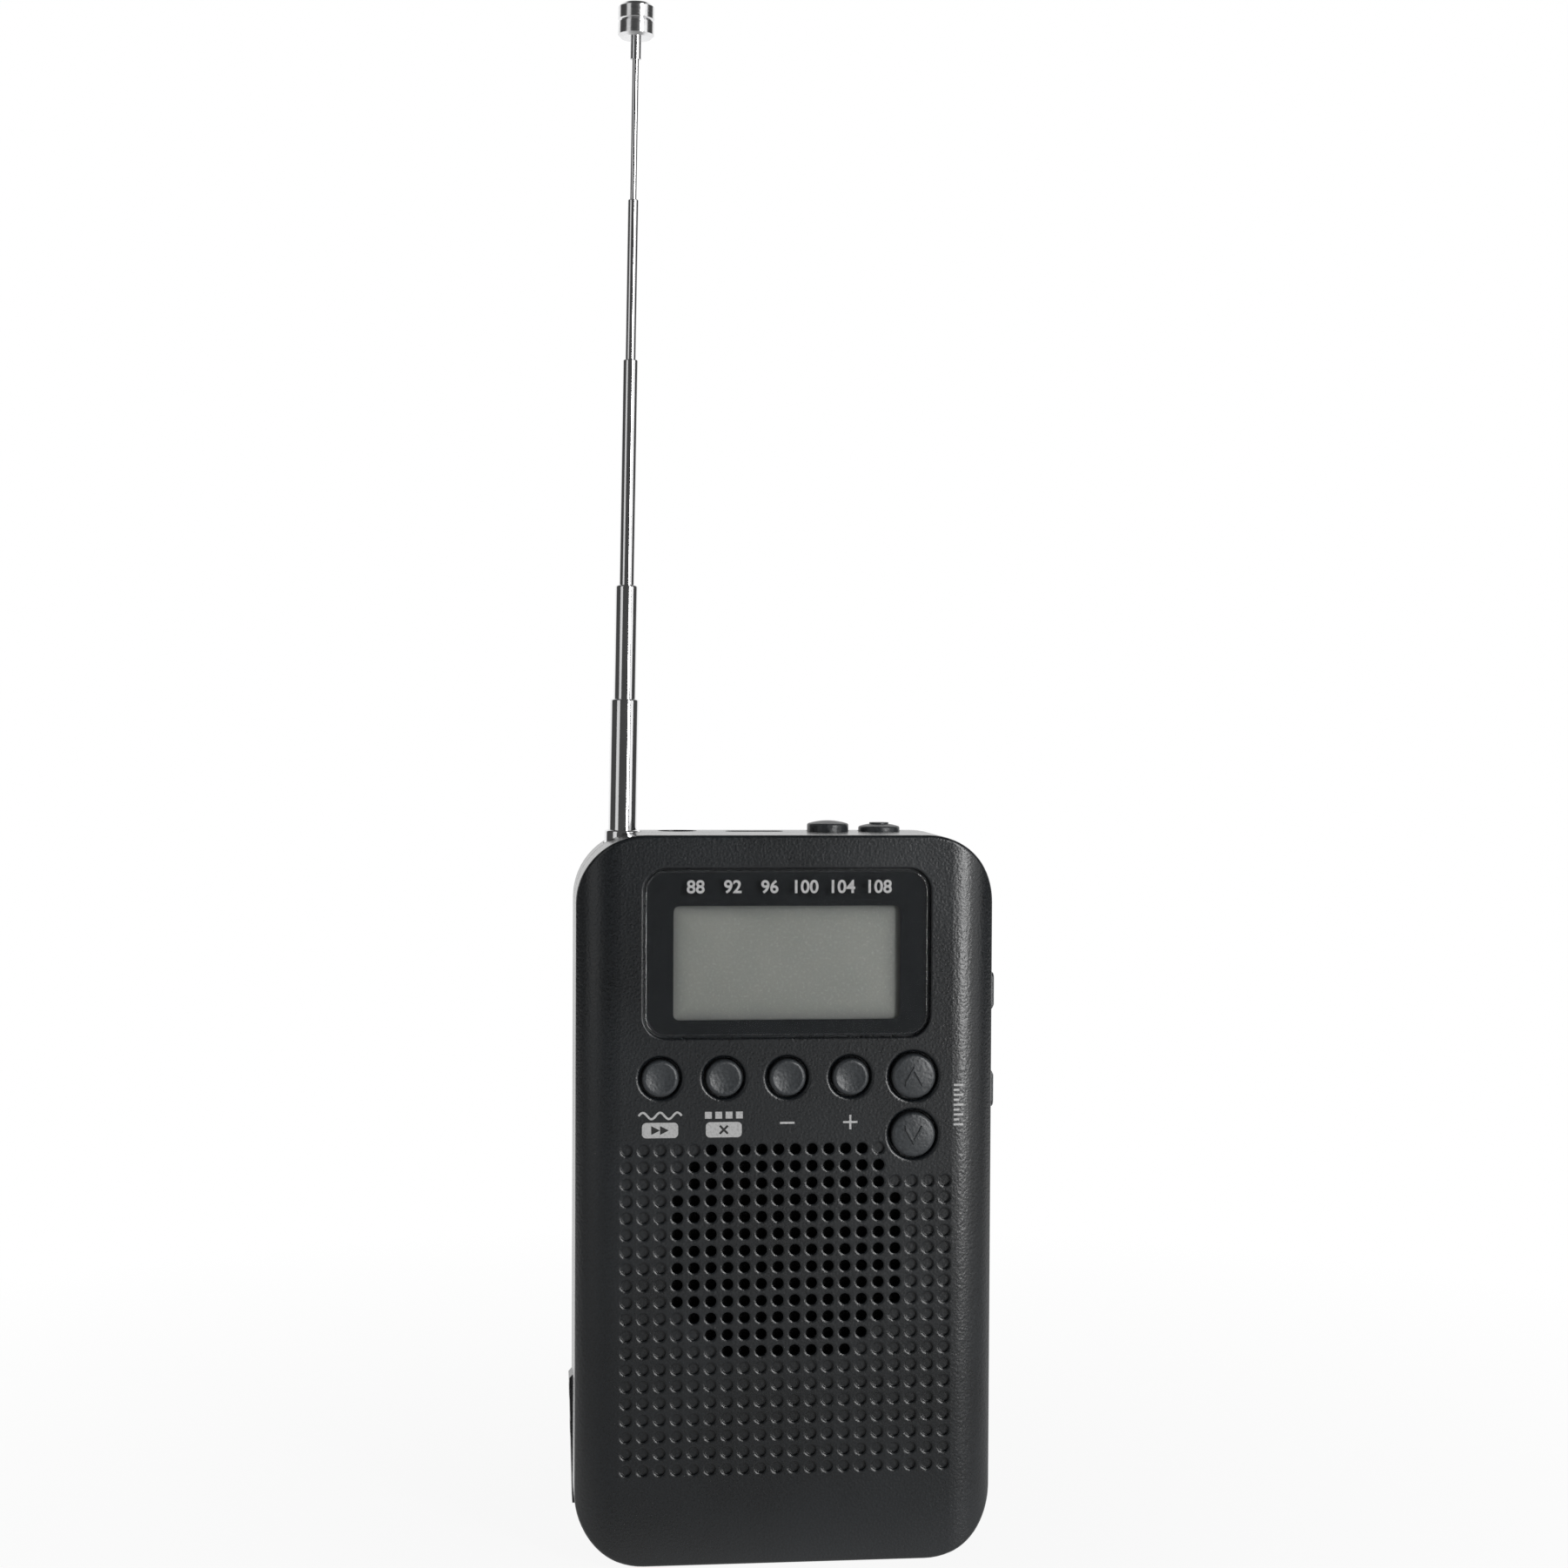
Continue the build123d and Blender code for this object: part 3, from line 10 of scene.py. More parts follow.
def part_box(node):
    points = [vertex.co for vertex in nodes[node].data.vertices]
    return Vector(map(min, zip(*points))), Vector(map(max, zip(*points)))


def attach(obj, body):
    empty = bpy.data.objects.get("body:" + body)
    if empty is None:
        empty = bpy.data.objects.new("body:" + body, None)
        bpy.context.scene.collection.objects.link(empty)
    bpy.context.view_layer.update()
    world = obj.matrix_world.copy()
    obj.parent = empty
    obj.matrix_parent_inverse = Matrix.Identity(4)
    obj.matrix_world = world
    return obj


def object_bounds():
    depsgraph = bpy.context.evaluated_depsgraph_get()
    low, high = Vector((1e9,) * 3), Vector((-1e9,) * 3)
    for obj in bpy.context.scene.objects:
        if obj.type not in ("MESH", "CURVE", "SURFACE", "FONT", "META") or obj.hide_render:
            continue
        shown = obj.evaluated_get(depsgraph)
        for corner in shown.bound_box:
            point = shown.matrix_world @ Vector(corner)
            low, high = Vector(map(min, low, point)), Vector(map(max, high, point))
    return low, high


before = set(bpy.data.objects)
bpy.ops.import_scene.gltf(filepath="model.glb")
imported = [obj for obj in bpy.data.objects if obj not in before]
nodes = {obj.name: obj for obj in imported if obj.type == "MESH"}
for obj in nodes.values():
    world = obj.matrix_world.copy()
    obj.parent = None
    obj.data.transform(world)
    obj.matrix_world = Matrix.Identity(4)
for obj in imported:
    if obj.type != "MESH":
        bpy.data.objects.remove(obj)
cad_low, cad_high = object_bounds()

MM = 0.001
FULL_TURN = 2 * math.pi
QUARTER_TURN = math.pi / 2

# The camera: the photograph's width and focal length in pixels, and its viewpoint in metres and radians
PHOTO_WIDTH = 1802
PHOTO_FOCAL = 3000
SENSOR_WIDTH = 36
CAMERA_NEAR = 10 * MM
VIEWPOINT = (-0.0378627, -0.3461947, 0.1109621)
YAW = 0.109944
PITCH = 0.025925
ROLL = 0.004862

# The floor: its size, and its colour, clouds and roughness in the light of the lamps
FLOOR_RADIUS = 0.5
FLOOR_SIDES = 96
FLOOR_BELOW = 0.05 * MM
FLOOR_WHITE = 0.7
FLOOR_CLOUD_SIZE = 0.2
FLOOR_CLOUD_SHADE = 0.985
FLOOR_ROUGHNESS = 0.9

# How white the floor is to the eye, from the middle outwards, and in mirrors, from the front backwards
FLOOR_GLOW_NEAR = 0.92
FLOOR_FADE_FROM = 0.04
FLOOR_FADE_TO = 0.22
MIRROR_FRONT = 0.08
MIRROR_FROM = -0.035
MIRROR_FULL = 0.02

# The room: a dim studio that turns into a bright backdrop as a direction points further back
STUDIO_LEVEL = 0.06
BACKDROP_LEVEL = 0.8
BACKDROP_FROM = 0.47
BACKDROP_FULL = 0.65

# Softboxes: turn to the right of straight ahead in degrees, height, distance, width, length and brightness
SOFTBOXES = {
    "softbox_key": (33, 0.2, 0.7, 0.16, 0.55, 9.0),
    "softbox_right": (60, 0.2, 0.8, 0.34, 0.9, 0.8),
    "softbox_left": (-53, 0.2, 0.8, 0.36, 0.9, 0.5),
}
LIGHT_AIM = Vector((0, 0, 0.08))

# A lamp's power is its brightness times its area times this
AREA_LAMP_FACTOR = 4

# Noise seldom leaves this range, so a finish spreads what lies in it
NOISE_LOW = 0.3
NOISE_HIGH = 0.7

# The wave texture runs through this many radians in a unit
WAVE_RADIANS = 20

# Moulded plastic: rounding of its edges, handled patches, the finer of its two grains, and its gloss
EDGE_RADIUS = 0.22 * MM
EDGE_SAMPLES = 4
HANDLED_SIZE = 16 * MM
HANDLED_SHARE = 0.4
FINE_GRAIN_RATIO = 1.4
FINE_DEPTH_SHARE = 0.5
PLASTIC_GLOSS = 0.75

# How far a face looks forwards where the finish of the sides ends, and where that of the front is full
SIDE_END = 0.1
FRONT_FULL = 0.5

# Dust on the plastic: spacing and radius of the specks, and the share of places that hold one
DUST_SPACING = 5 * MM
DUST_RADIUS = 0.09 * MM
DUST_SHARE = 0.3

# What the window shows of the display, and how far in from its edge a painted shadow of the window's frame
# darkens the display, and how steeply
VIEW_WIDTH = 29.8 * MM
VIEW_HEIGHT = 14.9 * MM
EDGE_SHADE = 2.8 * MM
EDGE_POWER = 2

# Printed marks: how far they stand proud, how thick they are, and their sizes
PRINT_LIFT = 0.012 * MM
PRINT_THICK = 0.02 * MM
DIAL_NUMBERS = ("88", "92", "96", "100", "104", "108")
DIAL_WIDTH = 29.0 * MM
DIAL_HEIGHT = 1.75 * MM
DIAL_BELOW_EDGE = 2.1 * MM
ICON_BELOW = 4.85 * MM
PILL_BELOW = 6.75 * MM
PILL_WIDTH = 4.7 * MM
PILL_HEIGHT = 2.0 * MM
PILL_CORNER = 0.55 * MM
CORNER_STEPS = 6
ARROW_SIZE = 1.15 * MM
CROSS_WIDTH = 1.5 * MM
WAVE_WIDTH = 5.6 * MM
WAVE_HEIGHT = 0.42 * MM
WAVE_TURNS = 2.5
WAVE_STEPS = 60
LINE_WIDTH = 0.28 * MM
SQUARE_SIZE = 0.9 * MM
SQUARE_COUNT = 4
SQUARE_PITCH = 1.35 * MM
SIGN_BELOW = 5.95 * MM
SIGN_WIDTH = 1.9 * MM
SCALE_GAP = 1.75 * MM
SCALE_LONG = 1.3 * MM
SCALE_SHORT = 0.75 * MM
SCALE_HEIGHT = 5.2 * MM
SCALE_TICKS = 9
SCALE_COLUMNS = 4

# Lettering, in the font's own units: how far its outline is thickened, and how near points are joined
LETTER_WEIGHT = 0.02
LETTER_WELD = 1e-5

# Contacts on the charging socket's tongue
CONTACT_COUNT = 5
CONTACT_WIDTH = 0.45 * MM
CONTACT_THICK = 0.03 * MM
CONTACT_SHARE = 0.8

# The faces of a box whose eight corners run through z first, then y, then x
BOX_FACES = [(0, 1, 3, 2), (4, 6, 7, 5), (0, 4, 5, 1), (2, 3, 7, 6), (0, 2, 6, 4), (1, 5, 7, 3)]


def middle(node):
    """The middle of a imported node."""
    low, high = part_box(node)
    return (low + high) / 2


def front_of(node, x, z):
    """Where the node's front lies at that place."""
    start = Vector((x, cad_low.y - MM, z))
    return nodes[node].ray_cast(start, Vector((0, 1, 0)))[1].y


def add(tree, kind, inputs=None, **settings):
    """A shader node of that kind with its settings and inputs. An input given as a socket is linked."""
    node = tree.nodes.new("ShaderNode" + kind)
    for name, value in settings.items():
        setattr(node, name, value)
    for name, value in (inputs or {}).items():
        if isinstance(value, bpy.types.NodeSocket):
            tree.links.new(value, node.inputs[name])
        else:
            node.inputs[name].default_value = value
    return node


def new_finish(name):
    """A material with its tree and its Principled shader."""
    material = bpy.data.materials.new("finish_" + name)
    material.use_nodes = True
    return material, material.node_tree, material.node_tree.nodes["Principled BSDF"]


def feed(tree, shader, **inputs):
    """Sets or links the shader's inputs, named with underscores for spaces."""
    for name, value in inputs.items():
        socket = shader.inputs[name.replace("_", " ").title().replace("Ior", "IOR")]
        if isinstance(value, bpy.types.NodeSocket):
            tree.links.new(value, socket)
        else:
            socket.default_value = value


def blend_shaders(tree, share, first, second):
    """Shows the second shader over the first, by that share."""
    shown = add(tree, "MixShader", {0: share, 1: first, 2: second}).outputs["Shader"]
    tree.links.new(shown, tree.nodes["Material Output"].inputs["Surface"])


def object_space(tree, stretch=(1, 1, 1)):
    """The piece's own coordinates in metres, scaled along an axis where a grain runs that way."""
    place = add(tree, "TexCoord").outputs["Object"]
    return add(tree, "Mapping", {"Vector": place, "Scale": stretch}).outputs["Vector"]


def calc(tree, operation, a, b=0.0):
    """One sum on one or two values or sockets."""
    return add(tree, "Math", {0: a, 1: b}, operation=operation).outputs[0]


def between(tree, value, low, high, start=NOISE_LOW, end=NOISE_HIGH):
    """The value's part from start to end, spread from low to high."""
    inputs = {"Value": value, "From Min": start, "From Max": end, "To Min": low, "To Max": high}
    return add(tree, "MapRange", inputs).outputs["Result"]


def tint(tree, factor, first, second):
    """A colour between two colours or colour sockets."""
    return add(tree, "Mix", {0: factor, 6: first, 7: second}, data_type="RGBA").outputs[2]


def grey(level, warmth=0.0):
    """A near-grey colour, bluish where warmth is below nought."""
    return (level * (1 + warmth), level, level * (1 - warmth), 1)


def darker(colour, share):
    """That share of a colour's light."""
    return tuple(part * share for part in colour[:3]) + (1,)


def noise(tree, where, size, detail=2.0):
    """Soft blotches of about that size in metres."""
    return add(tree, "TexNoise", {"Vector": where, "Scale": 1 / size, "Detail": detail}).outputs[0]


def cells(tree, where, size):
    """The distance from the middle of round cells of about that size."""
    made = add(tree, "TexVoronoi", {"Vector": where, "Scale": 1 / size}, feature="SMOOTH_F1")
    return made.outputs["Distance"]


def specks(tree, where, spacing, radius, share):
    """One on specks of that radius, in that share of cells of that spacing, and nought elsewhere."""
    made = add(tree, "TexVoronoi", {"Vector": where, "Scale": 1 / spacing})
    close = calc(tree, "LESS_THAN", made.outputs["Distance"], radius / spacing)
    chosen = add(tree, "SeparateColor", {"Color": made.outputs["Color"]}).outputs["Red"]
    return calc(tree, "MULTIPLY", close, calc(tree, "LESS_THAN", chosen, share))


def waves(tree, where, pitch, direction):
    """Ridges of that pitch along one axis."""
    inputs = {"Vector": where, "Scale": FULL_TURN / (WAVE_RADIANS * pitch)}
    return add(tree, "TexWave", inputs, bands_direction=direction).outputs["Fac"]


def relief(tree, height, depth, under=None, strength=1.0):
    """A normal from a height that stands for that depth in metres, on top of another relief."""
    inputs = {"Height": height, "Distance": depth, "Strength": strength}
    if under is not None:
        inputs["Normal"] = under
    return add(tree, "Bump", inputs).outputs["Normal"]


def softened(tree, radius):
    """A normal that rounds sharp edges by that radius."""
    return add(tree, "Bevel", {"Radius": radius}, samples=EDGE_SAMPLES).outputs["Normal"]


def facing_front(tree):
    """One on faces that look forwards or backwards, and nought on the sides, top and bottom."""
    normal = add(tree, "NewGeometry").outputs["Normal"]
    depth = add(tree, "SeparateXYZ", {"Vector": normal}).outputs["Y"]
    return calc(tree, "ABSOLUTE", depth)


def mottled(tree, handled, fine):
    """Handled patches and fine grain in one, each by its share."""
    broad = calc(tree, "MULTIPLY", handled, HANDLED_SHARE)
    return calc(tree, "ADD", broad, calc(tree, "MULTIPLY", fine, 1 - HANDLED_SHARE))


def moulded_black(
    name, dark, light, warmth, smooth, rough, grain_size, grain_depth, side_roughness=1.0, side_grain=1.0
):
    """Black moulded plastic: a leathery grain, less on the sides, handled patches, soft edges and dust."""
    material, tree, shader = new_finish(name)
    where = object_space(tree)
    facing = facing_front(tree)
    pebbles = cells(tree, where, grain_size)
    fine = noise(tree, where, grain_size / FINE_GRAIN_RATIO)
    mottle = mottled(tree, noise(tree, where, HANDLED_SIZE), fine)
    dust = specks(tree, where, DUST_SPACING, DUST_RADIUS, DUST_SHARE)
    body = tint(tree, between(tree, mottle, 0, 1), grey(dark, warmth), grey(light, warmth))
    matt = between(tree, mottle, smooth, rough)
    kept = between(tree, facing, side_roughness, 1, SIDE_END, FRONT_FULL)
    grain = between(tree, facing, side_grain, 1, SIDE_END, FRONT_FULL)
    pebbled = relief(tree, pebbles, grain_depth, softened(tree, EDGE_RADIUS), grain)
    feed(
        tree,
        shader,
        base_color=tint(tree, dust, body, grey(level=0.06, warmth=0.03)),
        roughness=calc(tree, "MULTIPLY", matt, kept),
        specular_ior_level=PLASTIC_GLOSS,
        normal=relief(tree, fine, grain_depth * FINE_DEPTH_SHARE, pebbled, grain),
    )
    return material


def case_plastic(name):
    """The case's spark-textured black, smoother on its sides."""
    return moulded_black(
        name,
        dark=0.001,
        light=0.0125,
        warmth=-0.27,
        smooth=0.24,
        rough=0.37,
        grain_size=0.34 * MM,
        grain_depth=0.025 * MM,
        side_roughness=0.68,
        side_grain=0.3,
    )


def key_plastic(name):
    """The keys' greyer black, with a broader grain and less gloss."""
    return moulded_black(
        name,
        dark=0.022,
        light=0.058,
        warmth=-0.12,
        smooth=0.35,
        rough=0.44,
        grain_size=0.4 * MM,
        grain_depth=0.034 * MM,
    )


def clear_acrylic(name):
    """The window: clear, polished and faintly smudged, letting lamp light through to the display."""
    material, tree, shader = new_finish(name)
    smudges = noise(tree, object_space(tree), size=9 * MM, detail=3.0)
    feed(
        tree,
        shader,
        base_color=(0.97, 0.98, 0.98, 1),
        roughness=between(tree, smudges, low=0.02, high=0.07),
        ior=1.49,
        transmission_weight=1.0,
        normal=relief(tree, smudges, depth=0.004 * MM),
    )
    passing = add(tree, "BsdfTransparent").outputs["BSDF"]
    shadow = add(tree, "LightPath").outputs["Is Shadow Ray"]
    blend_shaders(tree, shadow, shader.outputs["BSDF"], passing)
    return material


def mask_print(name):
    """Black ink behind the window, with the slight unevenness of a screen print."""
    material, tree, shader = new_finish(name)
    ink = noise(tree, object_space(tree), size=0.8 * MM, detail=4.0)
    thin = grey(level=0.009, warmth=-0.12)
    thick = grey(level=0.011, warmth=-0.12)
    feed(
        tree,
        shader,
        base_color=tint(tree, between(tree, ink, 0, 1), thin, thick),
        specular_ior_level=0.05,
        roughness=between(tree, ink, low=0.5, high=0.6),
        normal=relief(tree, ink, depth=0.001 * MM),
    )
    return material


def painted_frame_shadow(tree):
    """How much painted shadow of the window's frame falls on a place on the display, by how near it is to
    the edge of what the window shows, from nought to one.
    """
    place = add(tree, "SeparateXYZ", {"Vector": add(tree, "TexCoord").outputs["Object"]}).outputs
    panel = middle("lcd_panel")
    across = calc(tree, "ABSOLUTE", calc(tree, "SUBTRACT", place["X"], panel.x))
    up = calc(tree, "ABSOLUTE", calc(tree, "SUBTRACT", place["Z"], panel.z))
    beside = between(tree, across, 0, 1, VIEW_WIDTH / 2 - EDGE_SHADE, VIEW_WIDTH / 2)
    over = between(tree, up, 0, 1, VIEW_HEIGHT / 2 - EDGE_SHADE, VIEW_HEIGHT / 2)
    return calc(tree, "POWER", calc(tree, "MAXIMUM", beside, over), EDGE_POWER)


def display_glass(name):
    """A blank reflective display: grey-green, cloudy and flecked, and darkened towards its edge by a
    painted shadow of the window's frame.
    """
    material, tree, shader = new_finish(name)
    where = object_space(tree)
    cloud = noise(tree, where, size=5 * MM, detail=3.0)
    fleck = noise(tree, where, size=0.35 * MM, detail=3.0)
    dim = (0.155, 0.159, 0.143, 1)
    bright = (0.168, 0.172, 0.154, 1)
    scuffed = (0.22, 0.224, 0.204, 1)
    # Painted shadow of the window's frame: the display's colour at the very edge of what the window shows
    frame_shadow_tone = (0.096, 0.099, 0.092, 1)
    base = tint(tree, between(tree, cloud, 0, 1), dim, bright)
    flecked = tint(tree, between(tree, fleck, 0, 1, start=0.55, end=0.7), base, scuffed)
    feed(
        tree,
        shader,
        # The display's colour darkens towards its edge by a painted shadow of the window's frame
        base_color=tint(tree, painted_frame_shadow(tree), flecked, frame_shadow_tone),
        roughness=between(tree, cloud, low=0.32, high=0.42),
        normal=relief(tree, fleck, depth=0.003 * MM),
    )
    return material


def polished_chrome(name):
    """Drawn chrome tube: bright, with fine lengthwise streaks and a few duller patches."""
    material, tree, shader = new_finish(name)
    streaks = noise(tree, object_space(tree, stretch=(1, 1, 0.015)), size=0.22 * MM, detail=3.0)
    patches = noise(tree, object_space(tree), size=7 * MM)
    dull = (0.82, 0.82, 0.83, 1)
    bright = (0.9, 0.9, 0.905, 1)
    worn = calc(tree, "MULTIPLY", streaks, patches)
    feed(
        tree,
        shader,
        base_color=tint(tree, between(tree, patches, 0, 1), dull, bright),
        metallic=1.0,
        roughness=between(tree, worn, low=0.06, high=0.13, start=0.1, end=0.4),
    )
    return material


def turned_chrome(name):
    """The antenna's tip: chrome over fine turning rings."""
    material, tree, shader = new_finish(name)
    rings = noise(tree, object_space(tree, stretch=(0.05, 0.05, 1)), size=0.12 * MM)
    patches = noise(tree, object_space(tree), size=3 * MM)
    dull = (0.76, 0.76, 0.77, 1)
    bright = (0.85, 0.85, 0.855, 1)
    feed(
        tree,
        shader,
        base_color=tint(tree, between(tree, patches, 0, 1), dull, bright),
        metallic=1.0,
        roughness=between(tree, rings, low=0.14, high=0.24),
        normal=relief(tree, rings, depth=0.002 * MM),
    )
    return material


def plated_metal(name, colour, smooth, rough, dullness=0.7):
    """Stamped or plated metal with short scratches and duller patches."""
    material, tree, shader = new_finish(name)
    scratches = noise(tree, object_space(tree, stretch=(1, 1, 0.12)), size=0.2 * MM, detail=3.0)
    patches = noise(tree, object_space(tree), size=3 * MM)
    feed(
        tree,
        shader,
        base_color=tint(tree, between(tree, patches, 0, 1), darker(colour, dullness), colour),
        metallic=1.0,
        roughness=between(tree, scratches, smooth, rough),
        normal=relief(tree, scratches, depth=0.006 * MM),
    )
    return material


def socket_steel(name):
    """Nickel-plated sheet."""
    return plated_metal(name, colour=(0.62, 0.62, 0.63, 1), smooth=0.2, rough=0.36)


def frame_steel(name):
    """The speaker's zinc-plated basket."""
    return plated_metal(name, colour=(0.45, 0.45, 0.46, 1), smooth=0.3, rough=0.48)


def screw_steel(name):
    """Blackened screws."""
    return plated_metal(name, colour=(0.2, 0.2, 0.21, 1), smooth=0.28, rough=0.45, dullness=0.6)


def magnet_grey(name):
    """The speaker's plated magnet cup."""
    return plated_metal(name, colour=(0.3, 0.3, 0.32, 1), smooth=0.32, rough=0.5)


def capacitor_silver(name):
    """Aluminium cans."""
    return plated_metal(name, colour=(0.75, 0.75, 0.77, 1), smooth=0.24, rough=0.4)


def contact_brass(name):
    """Gold-washed contact springs."""
    return plated_metal(name, colour=(0.8, 0.62, 0.3, 1), smooth=0.18, rough=0.34)


def bush_brass(name):
    """Sprung brass bushes."""
    return plated_metal(name, colour=(0.75, 0.58, 0.28, 1), smooth=0.24, rough=0.42)


def plain_moulding(name, colour, smooth, rough, shade=0.85, grain=0.3 * MM, depth=0.006 * MM):
    """An inner moulding: one colour with slight clouding and a fine skin."""
    material, tree, shader = new_finish(name)
    where = object_space(tree)
    cloud = noise(tree, where, size=4 * MM, detail=3.0)
    skin = noise(tree, where, grain, detail=3.0)
    feed(
        tree,
        shader,
        base_color=tint(tree, between(tree, cloud, 0, 1), darker(colour, shade), colour),
        roughness=between(tree, skin, smooth, rough),
        normal=relief(tree, skin, depth),
    )
    return material


def holder_white(name):
    """The display's white holder."""
    return plain_moulding(name, colour=(0.72, 0.72, 0.7, 1), smooth=0.42, rough=0.56, shade=0.93)


def strip_grey(name):
    """The display's conductive rubber strip."""
    return plain_moulding(name, colour=(0.3, 0.3, 0.31, 1), smooth=0.7, rough=0.85)


def chip_black(name):
    """Moulded packages and blocks."""
    return plain_moulding(name, colour=(0.022, 0.022, 0.023, 1), smooth=0.5, rough=0.66)


def switch_black(name):
    """Switch housings."""
    return plain_moulding(name, colour=(0.032, 0.032, 0.033, 1), smooth=0.42, rough=0.58)


def jack_black(name):
    """The headphone socket's glossy housing."""
    return plain_moulding(name, colour=(0.018, 0.018, 0.019, 1), smooth=0.25, rough=0.38)


def gasket_grey(name):
    """Foam: soft, with open cells."""
    return plain_moulding(
        name,
        colour=(0.08, 0.08, 0.08, 1),
        smooth=0.85,
        rough=0.98,
        shade=0.6,
        grain=0.35 * MM,
        depth=0.06 * MM,
    )


def terminal_tan(name):
    """Laminate terminal strip."""
    return plain_moulding(
        name, colour=(0.4, 0.28, 0.14, 1), smooth=0.5, rough=0.7, shade=0.7, grain=0.2 * MM
    )


def lead_red(name):
    """Soft insulation."""
    return plain_moulding(name, colour=(0.42, 0.035, 0.03, 1), smooth=0.4, rough=0.55)


def ferrite_grey(name):
    """Sintered ferrite, faintly gritty."""
    return plain_moulding(
        name,
        colour=(0.08, 0.08, 0.085, 1),
        smooth=0.55,
        rough=0.75,
        shade=0.75,
        grain=0.15 * MM,
        depth=0.012 * MM,
    )


def battery_wrap(name):
    """Shrink-wrapped cell: smooth film with slow ripples."""
    return plain_moulding(
        name, colour=(0.07, 0.16, 0.34, 1), smooth=0.22, rough=0.34, grain=3 * MM, depth=0.05 * MM
    )


def circuit_board(name):
    """Solder mask over branching copper tracks."""
    material, tree, shader = new_finish(name)
    where = object_space(tree)
    mesh_size = 2.4 * MM
    track_share = 0.12
    bare = (0.022, 0.13, 0.05, 1)
    raised = (0.045, 0.21, 0.085, 1)
    net = add(tree, "TexVoronoi", {"Vector": where, "Scale": 1 / mesh_size}, feature="DISTANCE_TO_EDGE")
    track = calc(tree, "LESS_THAN", net.outputs["Distance"], track_share)
    feed(
        tree,
        shader,
        base_color=tint(tree, track, bare, raised),
        roughness=between(tree, noise(tree, where, size=0.5 * MM), low=0.28, high=0.4),
        normal=relief(tree, track, depth=0.02 * MM),
    )
    return material


def woven_cloth(name):
    """Grille cloth: two sets of black threads crossing."""
    material, tree, shader = new_finish(name)
    where = object_space(tree)
    thread = 0.4 * MM
    weave = calc(tree, "MULTIPLY", waves(tree, where, thread, "X"), waves(tree, where, thread, "Z"))
    feed(
        tree,
        shader,
        base_color=tint(tree, weave, grey(level=0.004), grey(level=0.012)),
        roughness=0.95,
        normal=relief(tree, weave, depth=0.08 * MM),
    )
    return material


def cone_film(name):
    """The speaker's film cone: satin and slightly uneven."""
    material, tree, shader = new_finish(name)
    cloud = noise(tree, object_space(tree), size=2 * MM, detail=3.0)
    dark = grey(level=0.025)
    light = grey(level=0.036, warmth=-0.04)
    feed(
        tree,
        shader,
        base_color=tint(tree, between(tree, cloud, 0, 1), dark, light),
        roughness=between(tree, cloud, low=0.35, high=0.5),
        normal=relief(tree, cloud, depth=0.02 * MM),
    )
    return material


def copper_winding(name):
    """Enamelled wire wound close along the rod, with painted shade in the grooves between its turns."""
    material, tree, shader = new_finish(name)
    where = object_space(tree)
    turns = waves(tree, where, pitch=0.3 * MM, direction="X")
    # Painted shade: the copper's colour is darker in the grooves between turns than on their crests
    groove_shade = (0.3, 0.1, 0.035, 1)
    crest = (0.62, 0.27, 0.11, 1)
    feed(
        tree,
        shader,
        base_color=tint(tree, turns, groove_shade, crest),
        metallic=1.0,
        roughness=between(tree, noise(tree, where, size=1 * MM), low=0.25, high=0.38),
        normal=relief(tree, turns, depth=0.08 * MM),
    )
    return material


def printed_ink(name, worn, full, start=NOISE_LOW, end=NOISE_HIGH):
    """Ink between two greys, a little worn."""
    material, tree, shader = new_finish(name)
    wear = noise(tree, object_space(tree), size=0.3 * MM, detail=4.0)
    feed(
        tree,
        shader,
        base_color=tint(tree, between(tree, wear, 0, 1, start, end), grey(worn), grey(full)),
        roughness=between(tree, wear, low=0.45, high=0.6),
        normal=relief(tree, wear, depth=0.003 * MM),
    )
    return material


def pale_ink(name):
    """Light grey print on the case."""
    return printed_ink(name, worn=0.46, full=0.58, start=0.35, end=0.55)


def dark_ink(name):
    """Black print on the pale pills."""
    return printed_ink(name, worn=0.014, full=0.024)


FINISHES = {
    "case_black": case_plastic,
    "key_black": key_plastic,
    "window_clear": clear_acrylic,
    "mask_black": mask_print,
    "lcd_grey": display_glass,
    "holder_white": holder_white,
    "strip_grey": strip_grey,
    "board_green": circuit_board,
    "chip_black": chip_black,
    "capacitor_silver": capacitor_silver,
    "switch_black": switch_black,
    "jack_black": jack_black,
    "socket_steel": socket_steel,
    "cloth_black": woven_cloth,
    "gasket_grey": gasket_grey,
    "frame_steel": frame_steel,
    "cone_black": cone_film,
    "magnet_grey": magnet_grey,
    "terminal_tan": terminal_tan,
    "screw_steel": screw_steel,
    "lead_red": lead_red,
    "ferrite_grey": ferrite_grey,
    "coil_copper": copper_winding,
    "battery_blue": battery_wrap,
    "contact_brass": contact_brass,
    "antenna_chrome": polished_chrome,
    "bush_brass": bush_brass,
}


def dress_frame():
    """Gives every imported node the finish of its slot, and the antenna's tip its own."""
    made = {slot: finish(slot) for slot, finish in FINISHES.items()}
    for node in nodes.values():
        for holder in node.material_slots:
            holder.material = made[holder.material.name]
    nodes["antenna_tip"].material_slots[0].material = turned_chrome("antenna_tip")
    return made


def new_piece(name, points, faces, body, finish):
    """A closed mesh that rides on a body."""
    mesh = bpy.data.meshes.new(name)
    mesh.from_pydata(points, [], faces)
    shape = bmesh.new()
    shape.from_mesh(mesh)
    bmesh.ops.recalc_face_normals(shape, faces=shape.faces)
    shape.to_mesh(mesh)
    shape.free()
    mesh.materials.append(finish)
    piece = bpy.data.objects.new(name, mesh)
    bpy.context.scene.collection.objects.link(piece)
    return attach(piece, body)


